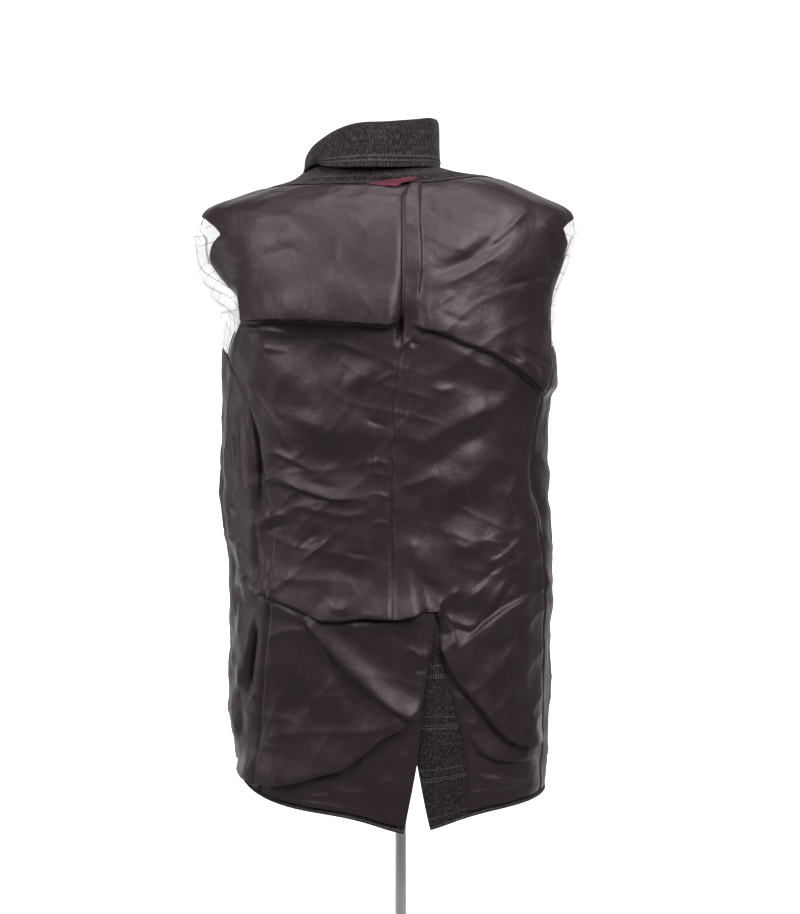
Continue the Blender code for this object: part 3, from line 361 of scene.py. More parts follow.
# families of small creases: (direction in degrees, wave, warp, height) in metres
CRUMPLES = ((14.0, 0.047, 0.057, 0.0012), (-24.0, 0.033, 0.041, 0.0010),
            (47.0, 0.037, 0.066, 0.0009), (-68.0, 0.043, 0.049, 0.0006))
SEAM_DIP, SEAM_DIP_WIDTH = 0.9 * MM, 2.4 * MM
CENTRE_BACK = ((0.0, 0.007), (0.46, 0.007), (0.53, 0.010), (0.60, 0.018), (0.63, 0.0195),
               (0.96, 0.0195))
BACK_WIDTHS = {"left": (0.235, 0.050), "right": (0.056, 0.205)}
BAND_END, BAND_FOLD, BAND_LAID = 138.0, 2.4 * MM, (0.0018, 0.45)
VENT_RIPPLE, FRONT_RIPPLE, BAND_RIPPLE, COLLAR_RIPPLE = 0.5, 0.8, 0.4, 0.5
FRONT_WIDTHS = {"lining": (0.30,), "wool": (0.40,), "facing": (0.10,)}
LABEL_X, LABEL_LEVELS = (-0.0235, 0.0385), (0.847, 0.880)
# the label's lower and upper edge: (share across, share of its levels)
LABEL_LOW = ((0.0, 0.35), (0.55, 0.0), (1.0, 0.70))
LABEL_HIGH = ((0.0, 0.50), (0.55, 0.95), (0.85, 1.0), (1.0, 0.85))
LABEL_STAND_OFF, LABEL_BEND = 1.1 * MM, 0.004
# its small waves: (height, length over 2 pi, start)
LABEL_WAVES = ((0.35 * MM, 0.0052, 0), (0.25 * MM, 0.0027, 1))

# ---- finishes
THREAD, TWILL, RIB, DOT = 0.6 * MM, 2.2 * MM, 0.5 * MM, 3.0 * MM
SATIN_DARK, SATIN_LIGHT = (0.0265, 0.0165, 0.0170), (0.034, 0.0220, 0.0248)
# the second colour below is painted shade: near black, laid into deep troughs and under ledges
SATIN_WARM, SATIN_PAINTED_SHADE = (0.044, 0.028, 0.0265), (0.007, 0.005, 0.005)
WOOL_DARK, WOOL_LIGHT = (0.008, 0.0055, 0.006), (0.050, 0.038, 0.041)
WOOL_FLECK, WOOL_LINE = (0.26, 0.22, 0.23), (0.17, 0.15, 0.155)
CHECK, CHECK_LINE, CHECK_LINES = 61 * MM, 0.8 * MM, (29.8 * MM, 33.0 * MM, 43.8 * MM)
# the last number below is painted light: how strongly the white sleeve lining glows
STRIPE, STRIPE_CROSS, STRIPE_GREY, WHITE_PAINTED_GLOW = 14.0 * MM, 23.0 * MM, (0.15, 0.15, 0.16), 0.5
WHITE_DARK, WHITE_LIGHT = (0.80, 0.80, 0.81), (0.88, 0.88, 0.88)
BURGUNDY_DARK, BURGUNDY = (0.110, 0.0105, 0.024), (0.170, 0.022, 0.045)
RIB_TOP = (0.20, 0.050, 0.075)

# ---- where it is seen from
VIEW_FROM, CREASE_PLANE, LENS = (0.017, -1.85, 1.04), -0.15, 52.3
WORLD_LIGHT = 0.08
LIGHTS = (
    # name, place, aim, size, spread in degrees, power
    ("key", (1.2, -1.7, 2.4), (0.17, 0.0, 1.02), 1.0, 94.0, 9.0),
    ("left", (-1.4, -1.6, 2.2), (-0.10, 0.0, 1.34), 0.9, 88.0, 4.7),
    ("top", (0.0, -0.8, 2.9), (0.0, 0.0, 1.30), 0.9, 90.0, 3.5),
    ("low_left", (-2.2, 0.0, 1.0), (-0.2, 0.0, 0.95), 0.8, 80.0, 1.1),
)
STAGE_HALF, FLOOR_GAP, SWEEP_Y, BACKDROP_Y = 3.5, 0.5 * MM, 0.95, 3.4


# ---- rings
def curve_at(table, at):
    """The columns of a table at given first columns, on a smooth curve through its rows."""
    rows = np.array(table, dtype=float)
    knots, values = rows[:, 0], rows[:, 1:]
    slopes = np.gradient(values, knots, axis=0)
    at = np.clip(np.asarray(at, dtype=float), knots[0], knots[-1])
    high = np.clip(np.searchsorted(knots, at), 1, len(knots) - 1)
    low = high - 1
    span = (knots[high] - knots[low])[..., None]
    t = (at - knots[low])[..., None] / span
    return ((2 * t**3 - 3 * t**2 + 1) * values[low] + (t**3 - 2 * t**2 + t) * span * slopes[low]
            + (3 * t**2 - 2 * t**3) * values[high] + (t**3 - t**2) * span * slopes[high])


def read(table, at):
    """The second column of a table at given first columns."""
    return curve_at(table, at)[..., 0]


def straight(table, at):
    """The second column of a table at given first columns, along straight lines."""
    return np.interp(at, *np.transpose(table))


def run_of(rows):
    """How far along a line, or on average along a grid's rows, each point lies."""
    steps = np.linalg.norm(np.diff(rows, axis=0), axis=-1)
    return np.concatenate(([0.0], np.cumsum(steps.reshape(len(steps), -1).mean(axis=1))))


def ease(share):
    """From 0 to 1, with a soft start and end."""
    t = np.clip(share, 0.0, 1.0)
    return t * t * (3 - 2 * t)


def hump(distance, half_width):
    """1 in the middle, fading out at about twice its half width."""
    return np.exp(-(distance / half_width)**2)


def crest(distance, half_width):
    """Like a hump, but with the sharper top of a fold."""
    return np.exp(-(distance / half_width)**SHARPNESS)


def ring_points(table, angle, walk):
    """Points of a ring table: squared ovals whose back, sides and front differ in height."""
    (back, side, front, left, right, rear, fore,
     middle_y, middle_x, square) = np.moveaxis(curve_at(table, walk), -1, 0)
    sine, cosine = np.sin(np.radians(angle)), np.cos(np.radians(angle))
    reach = (np.abs(sine)**square + np.abs(cosine)**square)**(-1.0 / square)
    half_width = np.where(sine > 0, right, left)
    depth, height = np.where(cosine > 0, rear, fore), np.where(cosine > 0, back, front)
    return np.stack((middle_x + half_width * sine * reach,
                     middle_y - depth * cosine * reach,
                     side + (height - side) * cosine**2), axis=-1)


def bare_points(angle, level):
    """The coat's outer face without folds, with the hem's own line."""
    points = ring_points(RINGS, angle, level)
    near_hem = np.maximum(0.0, 1.0 - level / HEM_REACH)
    drop = CORNER_DROP * hump(points[..., 0] - CORNER_DROP_AT, CORNER_DROP_SPREAD)
    lift = SIDE_LIFT * hump(angle - SIDE_LIFT_ANGLE, SIDE_LIFT_SPREAD)
    points[..., 2] += near_hem * (lift - np.where(np.abs(angle) < 90, drop, 0.0))
    points[..., 2] += (RIGHT_BUMP * hump(points[..., 0] - RIGHT_BUMP_X, RIGHT_BUMP_SPREAD)
                       * ease((level - BUMP_LEVEL) / BUMP_FADE))
    return points


def face_frame(angle, level):
    """The ways along the ring, up the cloth and out of it."""
    turn, climb = 0.5, 0.004
    low, high = np.maximum(level - climb, HEM), np.minimum(level + climb, NECK)
    along = bare_points(angle + turn, level) - bare_points(angle - turn, level)
    up = bare_points(angle, high) - bare_points(angle, low)
    out = unit(np.cross(along, up))
    return unit(along), unit(up), out


def unit(vectors):
    """Vectors of length 1."""
    return vectors / np.linalg.norm(vectors, axis=-1, keepdims=True)


def angle_at(x, level):
    """The angle at which the back of a ring passes a given x."""
    columns = curve_at(RINGS, level)
    middle_x, square = columns[..., 8], columns[..., 9]
    half_width = np.where(x > middle_x, columns[..., 4], columns[..., 3])
    share = (x - middle_x) / half_width
    return np.degrees(np.arctan(share / (1 - np.abs(share)**square)**(1 / square)))


def as_seen(points):
    """(x, z) of points as they fall on the creases' drawing, from where the coat is looked at."""
    scale = (CREASE_PLANE - VIEW_FROM[1]) / (points[..., 1] - VIEW_FROM[1])
    return (VIEW_FROM[0] + (points[..., 0] - VIEW_FROM[0]) * scale,
            VIEW_FROM[2] + (points[..., 2] - VIEW_FROM[2]) * scale)


# ---- folds
def smooth_path(path, step):
    """A line drawn smoothly through points, with a point at about every step."""
    path = path * MM
    run = run_of(path)
    count = max(3, int(run[-1] / step) + 1)
    return curve_at(np.column_stack((run, path)), np.linspace(0.0, run[-1], count))


def nearest_on(path, x, z):
    """Distance to a line, which side of it, how far along it, and its way to the left there."""
    distance = np.full(x.shape, np.inf)
    left, along = np.zeros(x.shape, dtype=bool), np.zeros(x.shape)
    way = np.zeros(x.shape + (2,))
    run = 0.0
    for (x0, z0), (x1, z1) in zip(path, path[1:]):
        dx, dz = x1 - x0, z1 - z0
        length = math.hypot(dx, dz)
        t = np.clip(((x - x0) * dx + (z - z0) * dz) / length**2, 0.0, 1.0)
        off_x, off_z = x - x0 - t * dx, z - z0 - t * dz
        gap = np.hypot(off_x, off_z)
        closer = gap < distance
        distance[closer] = gap[closer]
        left[closer] = (dx * off_z - dz * off_x > 0)[closer]
        along[closer] = (run + t * length)[closer]
        way[closer] = (-dz / length, dx / length)
        run += length
    return distance, left, along / run, way


def crease_field(creases, x, z):
    """How far creases carry the cloth out and along the drawing, and the painted shade they lay
    into the cloth's colour.
    """
    out, push, painted_shade = np.zeros(x.shape), np.zeros(x.shape + (2,)), np.zeros(x.shape)
    for number, (height, left_width, right_width, *path) in enumerate(creases):
        path = smooth_path(np.reshape(path, (-1, 2)), CREASE_STEP)
        reach = CREASE_REACH * max(left_width, right_width) * MM
        (low_x, low_z), (high_x, high_z) = path.min(axis=0) - reach, path.max(axis=0) + reach
        near = (x > low_x) & (x < high_x) & (z > low_z) & (z < high_z)
        if not near.any():
            continue
        distance, left, share, way = nearest_on(path, x[near], z[near])
        width = np.where(left, left_width, right_width) * MM
        ends = LEDGE_TAPER if height > LEDGE_HEIGHT else CREASE_TAPER
        taper = ease(share / ends) * ease((1 - share) / ends)
        uneven = 1 + UNEVEN * np.sin(share * (5.0 + number % 4) + 1.7 * number)
        gain = BROAD_GAIN if max(left_width, right_width) > 10 else FINE_GAIN
        shape = hump if gain == BROAD_GAIN else crest
        rise = height * gain * MM * shape(distance, width) * taper * uneven
        out[near] += rise
        lean = (left_width < right_width / STEEP) - (right_width < left_width / STEEP)
        push[near] += way * (rise * lean * SLUMP)[:, None]
        # painted shade: a dark band under each tall ledge, on its narrow side, and a darkening
        # along deep troughs
        if height > LEDGE_HEIGHT:
            wide = SHADE_WIDTH * (height / SHADE_HEIGHT)**2
            dark = hump(distance + 1.0 * MM, wide) * (left == (left_width < right_width))
            dark *= min(1.0, (height - LEDGE_HEIGHT) / SHADE_GROWS)
        else:
            dark = hump(distance, 1.3 * width) * (height < SHADE_DEPTH)
            dark *= BROAD_SHADE if gain == BROAD_GAIN else FINE_SHADE
        painted_shade[near] = np.maximum(painted_shade[near], dark * taper)
    return out, push, painted_shade


def crumples(x, z):
    """Crossing families of small sharp creases, stronger here and there."""
    rise = np.zeros(x.shape)
    for turn, wave, warp, height in CRUMPLES:
        cosine, sine = math.cos(math.radians(turn)), math.sin(math.radians(turn))
        along, across = x * cosine + z * sine, z * cosine - x * sine
        bent = across + 0.010 * np.sin(along / warp + turn) + 0.006 * np.sin(x / 0.031 + z / 0.047)
        sharp = 1 - np.abs(np.sin(math.pi * bent / wave + 2.0 * np.sin(along / (2.3 * warp))))
        patch = np.sin(along / (1.7 * warp) + 0.7 * turn)
        patch = patch * np.sin(across / (0.9 * warp) + 0.3 * turn)
        rise += height * sharp**2 * ease(1.4 * patch)
    return rise


def ripples(x, z):
    """The small unevenness of worn and packed cloth: four sets of waves, lengths in metres."""
    broad = (np.sin((0.8 * x + 0.5 * z) / 0.0105 + 1.2 * np.sin(z / 0.033))
             * np.sin((0.9 * z - 0.4 * x) / 0.0140 + 1.1 * np.sin(x / 0.041)))
    first = (np.sin(x / 0.0091 + 2.1 * np.sin(z / 0.033))
             * np.sin(z / 0.0132 + 1.3 * np.sin(x / 0.027)))
    second = np.sin(x / 0.0051 + 1.1 * np.sin(z / 0.016) + 0.6) * np.sin(z / 0.0062 + 1.9)
    third = np.sin((x + 0.6 * z) / 0.0172 + 1.4 * np.sin((z - 0.4 * x) / 0.041))
    return RIPPLE * (2.0 * broad + 0.55 * first + 0.2 * second + 0.75 * third)


def armhole_path(side):
    """The armhole's edge, once round: down the back from the tip and up the front.

    Each point is (cloth from the centre back, level), both in metres.
    """
    falling = np.linspace(TIP, UNDERARM, ARMHOLE_DOWN)
    rising = np.linspace(0.0, 1.0, ARMHOLE_UP)**ARMHOLE_CROWDING
    rising = UNDERARM + (TIP - UNDERARM) * rising
    down = np.column_stack((read(ARMHOLE_BACK[side], falling), falling))
    up = np.column_stack((read(armhole_front(side), rising), rising))
    return np.concatenate((down, up[1:-1], down[:1])) * (SIDE_STEP, 1.0)


def armhole_front(side):
    """The armhole's front edge, from the underarm point up."""
    return ((UNDERARM, ARMHOLE_BACK[side][0][1]),) + ARMHOLE_FRONT


ARMHOLES = {side: armhole_path(side) for side in ("left", "right")}


def from_armhole(angle, level, side):
    """Distance from the armhole's edge, in metres of cloth."""
    turned = np.abs(angle)
    near = (turned > 40) & (turned < 140) & (level > UNDERARM - 0.05)
    distance = np.full(angle.shape, np.inf)
    if near.any():
        distance[near] = nearest_on(ARMHOLES[side], turned[near] * SIDE_STEP, level[near])[0]
    return distance


def lining_top(angle):
    """The level of the lining's top edge."""
    return straight(LINING_TOP, angle)


def lip_share(x, level):
    """1 over the top of the left flap, from the vent's top up, and 0 beside it."""
    beside = ease((x - FLAP_EDGE[-1][1] - LIP_START) / LIP_SIDE)
    return (1 - beside) * (level >= VENT_TOP - LIP_FOOT)


def vent_offset(angle, level, side):
    """The left flap lies over the right one: one is lifted, the other sunk."""
    x = bare_points(angle, level)[..., 0]
    beyond = CENTRE_BACK_X - x if side == "left" else x - straight(FLAP_EDGE, level)
    sideways = np.maximum(0.0, 1.0 - np.maximum(0.0, beyond) / VENT_FADE)
    upwards = np.clip((VENT_FADE_LEVEL - level) / (VENT_FADE_LEVEL - VENT_TOP), 0.0, 1.0)
    lift = FLAP_LIFT
    if side == "right":
        lift = lip_share(x, level) * (FLAP_LIFT + UNDERLAP_SINK) - UNDERLAP_SINK
    return np.where(np.abs(angle) > 90, 0.0, sideways * upwards * lift)


def side_creases(side):
    """The side's table, with its angles as millimetres of cloth."""
    rows = [list(row) for row in SIDE_CREASES[side]]
    for row in rows:
        row[3::2] = [angle / MM * SIDE_STEP for angle in row[3::2]]
    return rows


def lining_shape(angle, level, side, edge):
    """The lining's outer face with all its folds; edge is the distance to its nearest seam."""
    points = bare_points(angle, level)
    along, up, out = face_frame(angle, level)
    x, z = points[..., 0], points[..., 2]
    turned = np.abs(angle)
    seen_x, seen_z = as_seen(points)
    back = 1 - ease((turned - BACK_FADE[0]) / (BACK_FADE[1] - BACK_FADE[0]))
    sides = ease((turned - SIDE_FADE[0]) / (SIDE_FADE[1] - SIDE_FADE[0]))
    rise, push, painted_shade = np.zeros(angle.shape), np.zeros(angle.shape + (2,)), np.zeros(angle.shape)
    on = back > 0
    if on.any():
        rise[on], push[on], painted_shade[on] = crease_field(BACK_CREASES, seen_x[on], seen_z[on])
        rise, push, painted_shade = rise * back, push * back[..., None], painted_shade * back
    on = sides > 0
    if on.any():
        more, sway, dark = crease_field(side_creases(side), turned[on] * SIDE_STEP, z[on])
        painted_shade[on] = np.maximum(painted_shade[on], dark * sides[on])
        rise[on] += more * sides[on]
        sway[..., 0] *= SIGN[side]
        push[on] += sway * sides[on][..., None]
    fade = ease((lining_top(angle) - level) / TOP_FADE)
    hole = ease(from_armhole(angle, level, side) / ARMHOLE_FADE)
    fade *= ARMHOLE_KEEPS + (1 - ARMHOLE_KEEPS) * hole
    open_vent = ease((VENT_TOP - FREE_FOOT - level) / FREE_FADE)
    free = (turned > FREE_FRONT) + (turned < FREE_BACK) * open_vent
    pinch = PINCH * (1 - ease(edge / PINCH_REACH))
    small = ripples(angle * SIDE_STEP + 0.3 * (side == "left"), z)
    small += crumples(np.where(turned < 90, seen_x, SIGN[side] * turned * SIDE_STEP), z)
    rise = rise + small * (1 - 0.5 * ease((z - CALM_ABOVE) / CALM_OVER)) + LINING_RISE
    rise = np.where(rise < 0, DEEPEST * np.tanh(rise / DEEPEST), rise) * fade
    lost = pinch * rise
    rise -= free * lost + (1 - free) * np.clip(lost, -SEAM_HOLD, SEAM_HOLD)
    rise -= SEAM_DIP * hump(edge, SEAM_DIP_WIDTH)
    if side == "right":
        rise += np.where(turned < 90, pleat(x, z) + vent_lip(x, level), 0.0)
    rise += vent_offset(angle, level, side)
    push = push * (fade * (1 - pinch * free))[..., None]
    points = points + out * rise[..., None] + along * push[..., :1] + up * push[..., 1:]
    # also gives the painted shade of its troughs and ledges
    return points, out, painted_shade * fade


def pleat(x, z):
    """The ease pleat's flat ridge beside the centre back."""
    right = PLEAT_RIGHT - PLEAT_NARROWS * ease((NARROWS_FROM - z) / NARROWS_OVER)
    right = right + PLEAT_SWAY * np.sin(z / PLEAT_SWAY_LENGTH)
    across = ease((x - PLEAT_LEFT + PLEAT_EDGE) / PLEAT_EDGE) * ease((right - x) / PLEAT_EDGE)
    return across * ease((z - PLEAT_FOOT) / PLEAT_FADE) * PLEAT_HEIGHT


def vent_lip(x, level):
    """Above the vent the right lining rolls forward over the top of the left flap."""
    return lip_share(x, level) * (1 - ease((level - VENT_TOP) / LIP_LEVEL)) * LIP_LIFT


def wool_sink(angle, level, side):
    """How far the wool lies back from the lining, away from the edges they share."""
    gaps = (level - WOOL_EDGE, lining_top(angle) - level, from_armhole(angle, level, side))
    return WOOL_SINK * np.prod([ease(gap / WOOL_FADE) for gap in gaps], axis=0)


# ---- panels
def side_rule(side, front=False):
    """A panel's edge at the side seam, the armhole and the shoulder, for an array of levels."""
    def rule(levels):
        armhole = read(armhole_front(side) if front else ARMHOLE_BACK[side], levels)
        if not front:
            inside = (levels > NOTCH[side][0][0]) & (levels < NOTCH[side][-1][0])
            notch = np.minimum(straight(NOTCH[side], levels), armhole)
            armhole = np.where(inside, notch, armhole)
        seam = read(SIDE_SEAM[side], levels)
        return SIGN[side] * np.where(levels <= UNDERARM, seam,
                                     np.where(levels >= TIP, 90.0, armhole))
    return rule


def x_rule(table):
    """An upright line of the back given by its x at each level."""
    return lambda at: angle_at(straight(table, at), at)


def angle_rule(table, side):
    """An upright line of the front given by its angle at each level."""
    return lambda at: SIGN[side] * read(table, at)


centre_back, flap_edge = x_rule(CENTRE_BACK), x_rule(FLAP_EDGE)
underlap_edge, vent_facing_line = x_rule(UNDERLAP_EDGE), x_rule(VENT_FACING_LINE)


def panel_grid(rules, counts, levels, top=None):
    """Angles and levels of a panel: columns between edge rules, rows at levels.

    With a top rule, the rows above the shoulder tips close up to end on that edge.
    Also gives each point's distance from the panel's outer edges.
    """
    edges = [rule(levels) for rule in rules]
    blocks = []
    for number, (first, last, count) in enumerate(zip(edges, edges[1:], counts)):
        share = np.linspace(0.0, 1.0, count + 1)[(1 if number else 0):]
        blocks.append(first[:, None] + (last - first)[:, None] * share)
    angles = np.concatenate(blocks, axis=1)
    levels = np.repeat(levels[:, None], angles.shape[1], axis=1)
    if top is not None:
        share = (levels - TIP) / (levels[-1, 0] - TIP)
        levels = np.where(levels > TIP, TIP + share * (top(angles) - TIP), levels)
    inset = SEAM_GAP / 2 / SIDE_STEP
    first, last = angles[:, :1].copy(), angles[:, -1:].copy()
    angles[:, 0] += inset
    angles[:, -1] -= inset
    edge = np.minimum(angles - first, last - angles) * SIDE_STEP
    return angles, levels, edge


def rows_between(low, high, step):
    """Levels about a step apart."""
    return np.linspace(low, high, max(2, int(round((high - low) / step)) + 1))


def columns_for(widths, step):
    """How many columns each width takes."""
    return [max(1, int(round(width / step))) for width in widths]


# ---- meshes
def shell(name, outer, inner, cloth, keep=None, wrap=False, painted_shade=None):
    """A thin wall of cloth: two grids of points, and a rim where the kept cells end."""
    rows, columns = outer.shape[:2]
    index = np.arange(rows * columns).reshape(rows, columns)
    across = columns if wrap else columns - 1
    kept = np.ones((rows - 1, across), dtype=bool) if keep is None else keep
    r, c = np.nonzero(kept)
    right = (c + 1) % columns
    front = np.stack((index[r, c], index[r, right], index[r + 1, right], index[r + 1, c]), axis=1)
    edges = np.concatenate([front[:, [i, (i + 1) % 4]] for i in range(4)])
    _, place, times = np.unique(np.sort(edges, axis=1), axis=0, return_index=True,
                                return_counts=True)
    a, b = edges[place[times == 1]].T
    total = rows * columns
    faces = np.concatenate((front, front[:, ::-1] + total,
                            np.stack((b, a, a + total, b + total), axis=1)))
    used, faces = np.unique(faces, return_inverse=True)
    faces = faces.reshape(-1, 4)
    points = np.concatenate((outer.reshape(-1, 3), inner.reshape(-1, 3)))[used]
    laid = np.concatenate((cloth.reshape(-1, 2), cloth.reshape(-1, 2)))[used]
    mesh = bpy.data.meshes.new(name)
    mesh.from_pydata(points, [], faces)
    mesh.validate()
    mesh.shade_smooth()
    attribute = mesh.attributes.new("cloth", "FLOAT_VECTOR", "POINT")
    attribute.data.foreach_set("vector", np.column_stack((laid, np.zeros(len(laid)))).ravel())
    # painted shade, one value a point, which the satin turns into near-black colour
    if painted_shade is not None:
        values = np.concatenate((painted_shade.ravel(), painted_shade.ravel()))[used]
        mesh.attributes.new("painted_shade", "FLOAT", "POINT").data.foreach_set("value", values)
    mark_rim(mesh, np.searchsorted(used, np.concatenate((a, a + total))),
             np.searchsorted(used, np.concatenate((b, b + total))))
    obj = bpy.data.objects.new(name, mesh)
    bpy.context.scene.collection.objects.link(obj)
    return obj


def mark_rim(mesh, starts, ends):
    """Keep the rim's corners crisp in the shading."""
    pairs = np.empty(2 * len(mesh.edges), dtype=np.int32)
    mesh.edges.foreach_get("vertices", pairs)
    pairs = np.sort(pairs.reshape(-1, 2), axis=1).astype(np.int64)
    rim = np.sort(np.column_stack((starts, ends)), axis=1).astype(np.int64)
    size = len(mesh.vertices)
    sharp = np.isin(pairs[:, 0] * size + pairs[:, 1], rim[:, 0] * size + rim[:, 1])
    mesh.attributes.new("sharp_edge", "BOOLEAN", "EDGE").data.foreach_set("value", sharp)


def laid_out(angle, level, around=SIDE_STEP):
    """Where points lie on the flat cloth, in metres."""
    return np.stack((angle * around, level), axis=-1)


def sheet_normals(points, wrap=False):
    """The way out of a grid of points."""
    if wrap:
        across = np.roll(points, -1, axis=1) - np.roll(points, 1, axis=1)
    else:
        across = np.gradient(points, axis=1)
    return unit(np.cross(across, np.gradient(points, axis=0)))


# ---- pieces of the coat
def wool_wall(name, angles, levels, rise, keep=None, cloth=None):
    """A wall of wool that stands off the coat's bare face by a rise."""
    out = face_frame(angles, levels)[2]
    points = bare_points(angles, levels) + out * rise[..., None]
    cloth = laid_out(angles, levels) if cloth is None else cloth
    return shell(name, points, points - out * WOOL, cloth, keep)


def lining_wall(name, angles, levels, side, edge, keep=None):
    """A panel of lining with its folds."""
    points, out, painted_shade = lining_shape(angles, levels, side, edge)
    return shell(name, points, points - out * LINING, laid_out(angles, levels), keep, painted_shade=painted_shade)


def make_back(side):
    """The lining and the wool of one half of the back, and the right half's vent facing."""
    left = side == "left"
    rules = ((side_rule(side), centre_back, flap_edge) if left
             else (underlap_edge_or_centre, vent_facing_line, side_rule(side)))
    counts = columns_for(BACK_WIDTHS[side], FINE)
    levels = rows_between(HEM + LINING_LIFT, LINING_END, FINE)
    angles, walks, edge = panel_grid(rules, counts, levels, lining_top)
    vent = (levels < VENT_TOP)[:, None]
    first = np.arange(angles.shape[1] - 1)[None, :] < counts[0]
    inner = np.abs(angles - angles[:, counts[0]][:, None]) * SIDE_STEP
    edge = np.where(vent == left, edge, np.minimum(edge, inner))
    keep = first | vent[:-1] if left else ~(first & vent[:-1])
    lining_wall(f"back_lining_{side}", angles, walks, side, edge, keep)
    make_wool_panel(f"back_wool_{side}", rules, columns_for(BACK_WIDTHS[side], COARSE), side)
    if not left:
        angles, walks, _ = panel_grid(rules[:2], counts[:1],
                                      rows_between(HEM, VENT_TOP + LIP_FOOT, FINE))
        rise = vent_offset(angles, walks, side) + FACING_OUT
        rise = rise + VENT_RIPPLE * ripples(angles * SIDE_STEP + 0.1, walks)
        wool_wall("facing_vent", angles, walks, rise)


def underlap_edge_or_centre(levels):
    """The right flap's free edge, and the centre back above the vent."""
    return np.where(levels < VENT_TOP, underlap_edge(levels), centre_back(levels))


def make_wool_panel(name, rules, counts, side):
    """A wool panel behind its lining."""
    levels = np.concatenate((np.linspace(HEM, 2 * LINING_LIFT, 9)[:-1],
                             rows_between(2 * LINING_LIFT, NECK, COARSE)))
    angles, walks, _ = panel_grid(rules, counts, levels)
    rise = vent_offset(angles, walks, side) - wool_sink(angles, walks, side)
    rise = rise + HEM_ROLL * (1 - ease(walks / LINING_LIFT)) + WOOL_OUT
    keep = None
    if name == "back_wool_left":
        first = np.arange(angles.shape[1] - 1)[None, :] < counts[0]
        keep = first | (levels[:-1] < VENT_TOP)[:, None]
    return wool_wall(name, angles, walks, rise, keep)


def make_front(side):
    """The lining, the wool and the wool facing of one front."""
    rules = (angle_rule(FRONT_EDGE, side), angle_rule(FACING_LINE, side),
             side_rule(side, front=True))[::-SIGN[side]]
    # from left to right: the lining lies beside the seam, the facing beside the front edge
    beside_seam, beside_edge = (rules[1:], rules[:2])[::-SIGN[side]]
    angles, walks, edge = panel_grid(beside_seam, columns_for(FRONT_WIDTHS["lining"], MIDDLE),
                                     rows_between(HEM + LINING_LIFT, LINING_END, MIDDLE),
                                     lining_top)
    lining_wall(f"front_lining_{side}", angles, walks, side, edge)
    make_wool_panel(f"front_wool_{side}", rules[::2],
                    columns_for(FRONT_WIDTHS["wool"], COARSE), side)
    angles, walks, edge = panel_grid(beside_edge, columns_for(FRONT_WIDTHS["facing"], MIDDLE),
                                     rows_between(HEM, NECK, MIDDLE))
    rise = FRONT_RIPPLE * ripples(angles * SIDE_STEP, walks) * ease(edge / EDGE_CALM)
    wool_wall(f"front_facing_{side}_cloth", angles, walks, FACING_OUT + rise)


def make_neck_facing():
    """The wool band between the lining's top edge and the collar."""
    angles, share = np.meshgrid(np.linspace(-BAND_END, BAND_END, 240), np.linspace(0.0, 1.0, 16))
    levels = lining_top(angles) * (1 - share) + NECK * share
    # one soft fold that wanders along the band, with a dip under it, over the middle only
    fold = hump(share - 0.45 - 0.08 * np.sin(angles / 21.0), 0.10) - hump(share - 0.25, 0.08)
    middle = ease((60 - np.abs(angles - 10)) / 20)
    rise = FACING_OUT + BAND_RIPPLE * ripples(angles * SIDE_STEP, levels)
    cloth = laid_out(angles, levels * BAND_LAID[1], BAND_LAID[0])
    wool_wall("facing_neck", angles, levels, rise + BAND_FOLD * fold * middle, None, cloth)


def make_collar():
    """Stand and fall, one folded piece round the neck and open at the front."""
    angles = np.linspace(-180 + COLLAR_OPEN, 180 - COLLAR_OPEN, COLLAR_COLUMNS)
    neck = np.full_like(angles, NECK)
    edge, below = bare_points(angles, neck), bare_points(angles, neck - 0.004)
    rows = [edge + face_frame(angles, neck)[2] * (WOOL_IN + WOOL_OUT) / 2
            + unit(edge - below) * COLLAR_SEAT]
    sine = np.sin(np.radians(angles))
    lean = np.where(sine < 0, COLLAR_LEFT_DROP * sine**2, -COLLAR_RIGHT_RISE * sine**2)
    for row in COLLAR_RINGS:
        ring = ring_points(COLLAR_RINGS, angles, np.full_like(angles, row[0]))
        ring[:, 2] -= lean * read(COLLAR_LEAN, row[0])
        rows.append(ring)
    table = np.column_stack((np.arange(len(rows)), np.array(rows).reshape(len(rows), -1)))
    walks = np.linspace(0.0, len(rows) - 1.0, COLLAR_ROWS)
    points = curve_at(table, walks).reshape(len(walks), len(angles), 3)
    low = ease(walks - FALL_START)[:, None]
    roll = hump(angles - ROLL_ANGLE, ROLL_SPREAD)
    droop = (ROLL_DROP * ease((ROLL_ANGLE - ROLL_SPREAD - angles) / (2 * ROLL_SPREAD))
             * ease((angles - DROOP_END) / DROOP_FADE))
    points[..., 2] += low * (ROLL_RISE * roll - droop)
    out = sheet_normals(points)
    angles, walks = np.meshgrid(angles, walks)
    rim = sum(height * hump(walks - walk, width) for walk, width, height in COLLAR_EDGE)
    waves = COLLAR_WAVE * np.sin(angles / COLLAR_WAVE_ANGLE + 0.8 * walks)
    waves = waves * ease((walks - COLLAR_WAVE_START) / COLLAR_WAVE_OVER)
    waves += COLLAR_RIPPLE * ripples(angles * COLLAR_LAID / 10, walks * COLLAR_LAID)
    points = points + out * (low * roll * ROLL_RISE + rim + waves)[..., None]
    shell("collar_cloth", points + out * COLLAR_THICK / 2, points - out * COLLAR_THICK / 2,
          laid_out(angles, walks * COLLAR_LAID + COLLAR_SHIFT, COLLAR_LAID / 10))


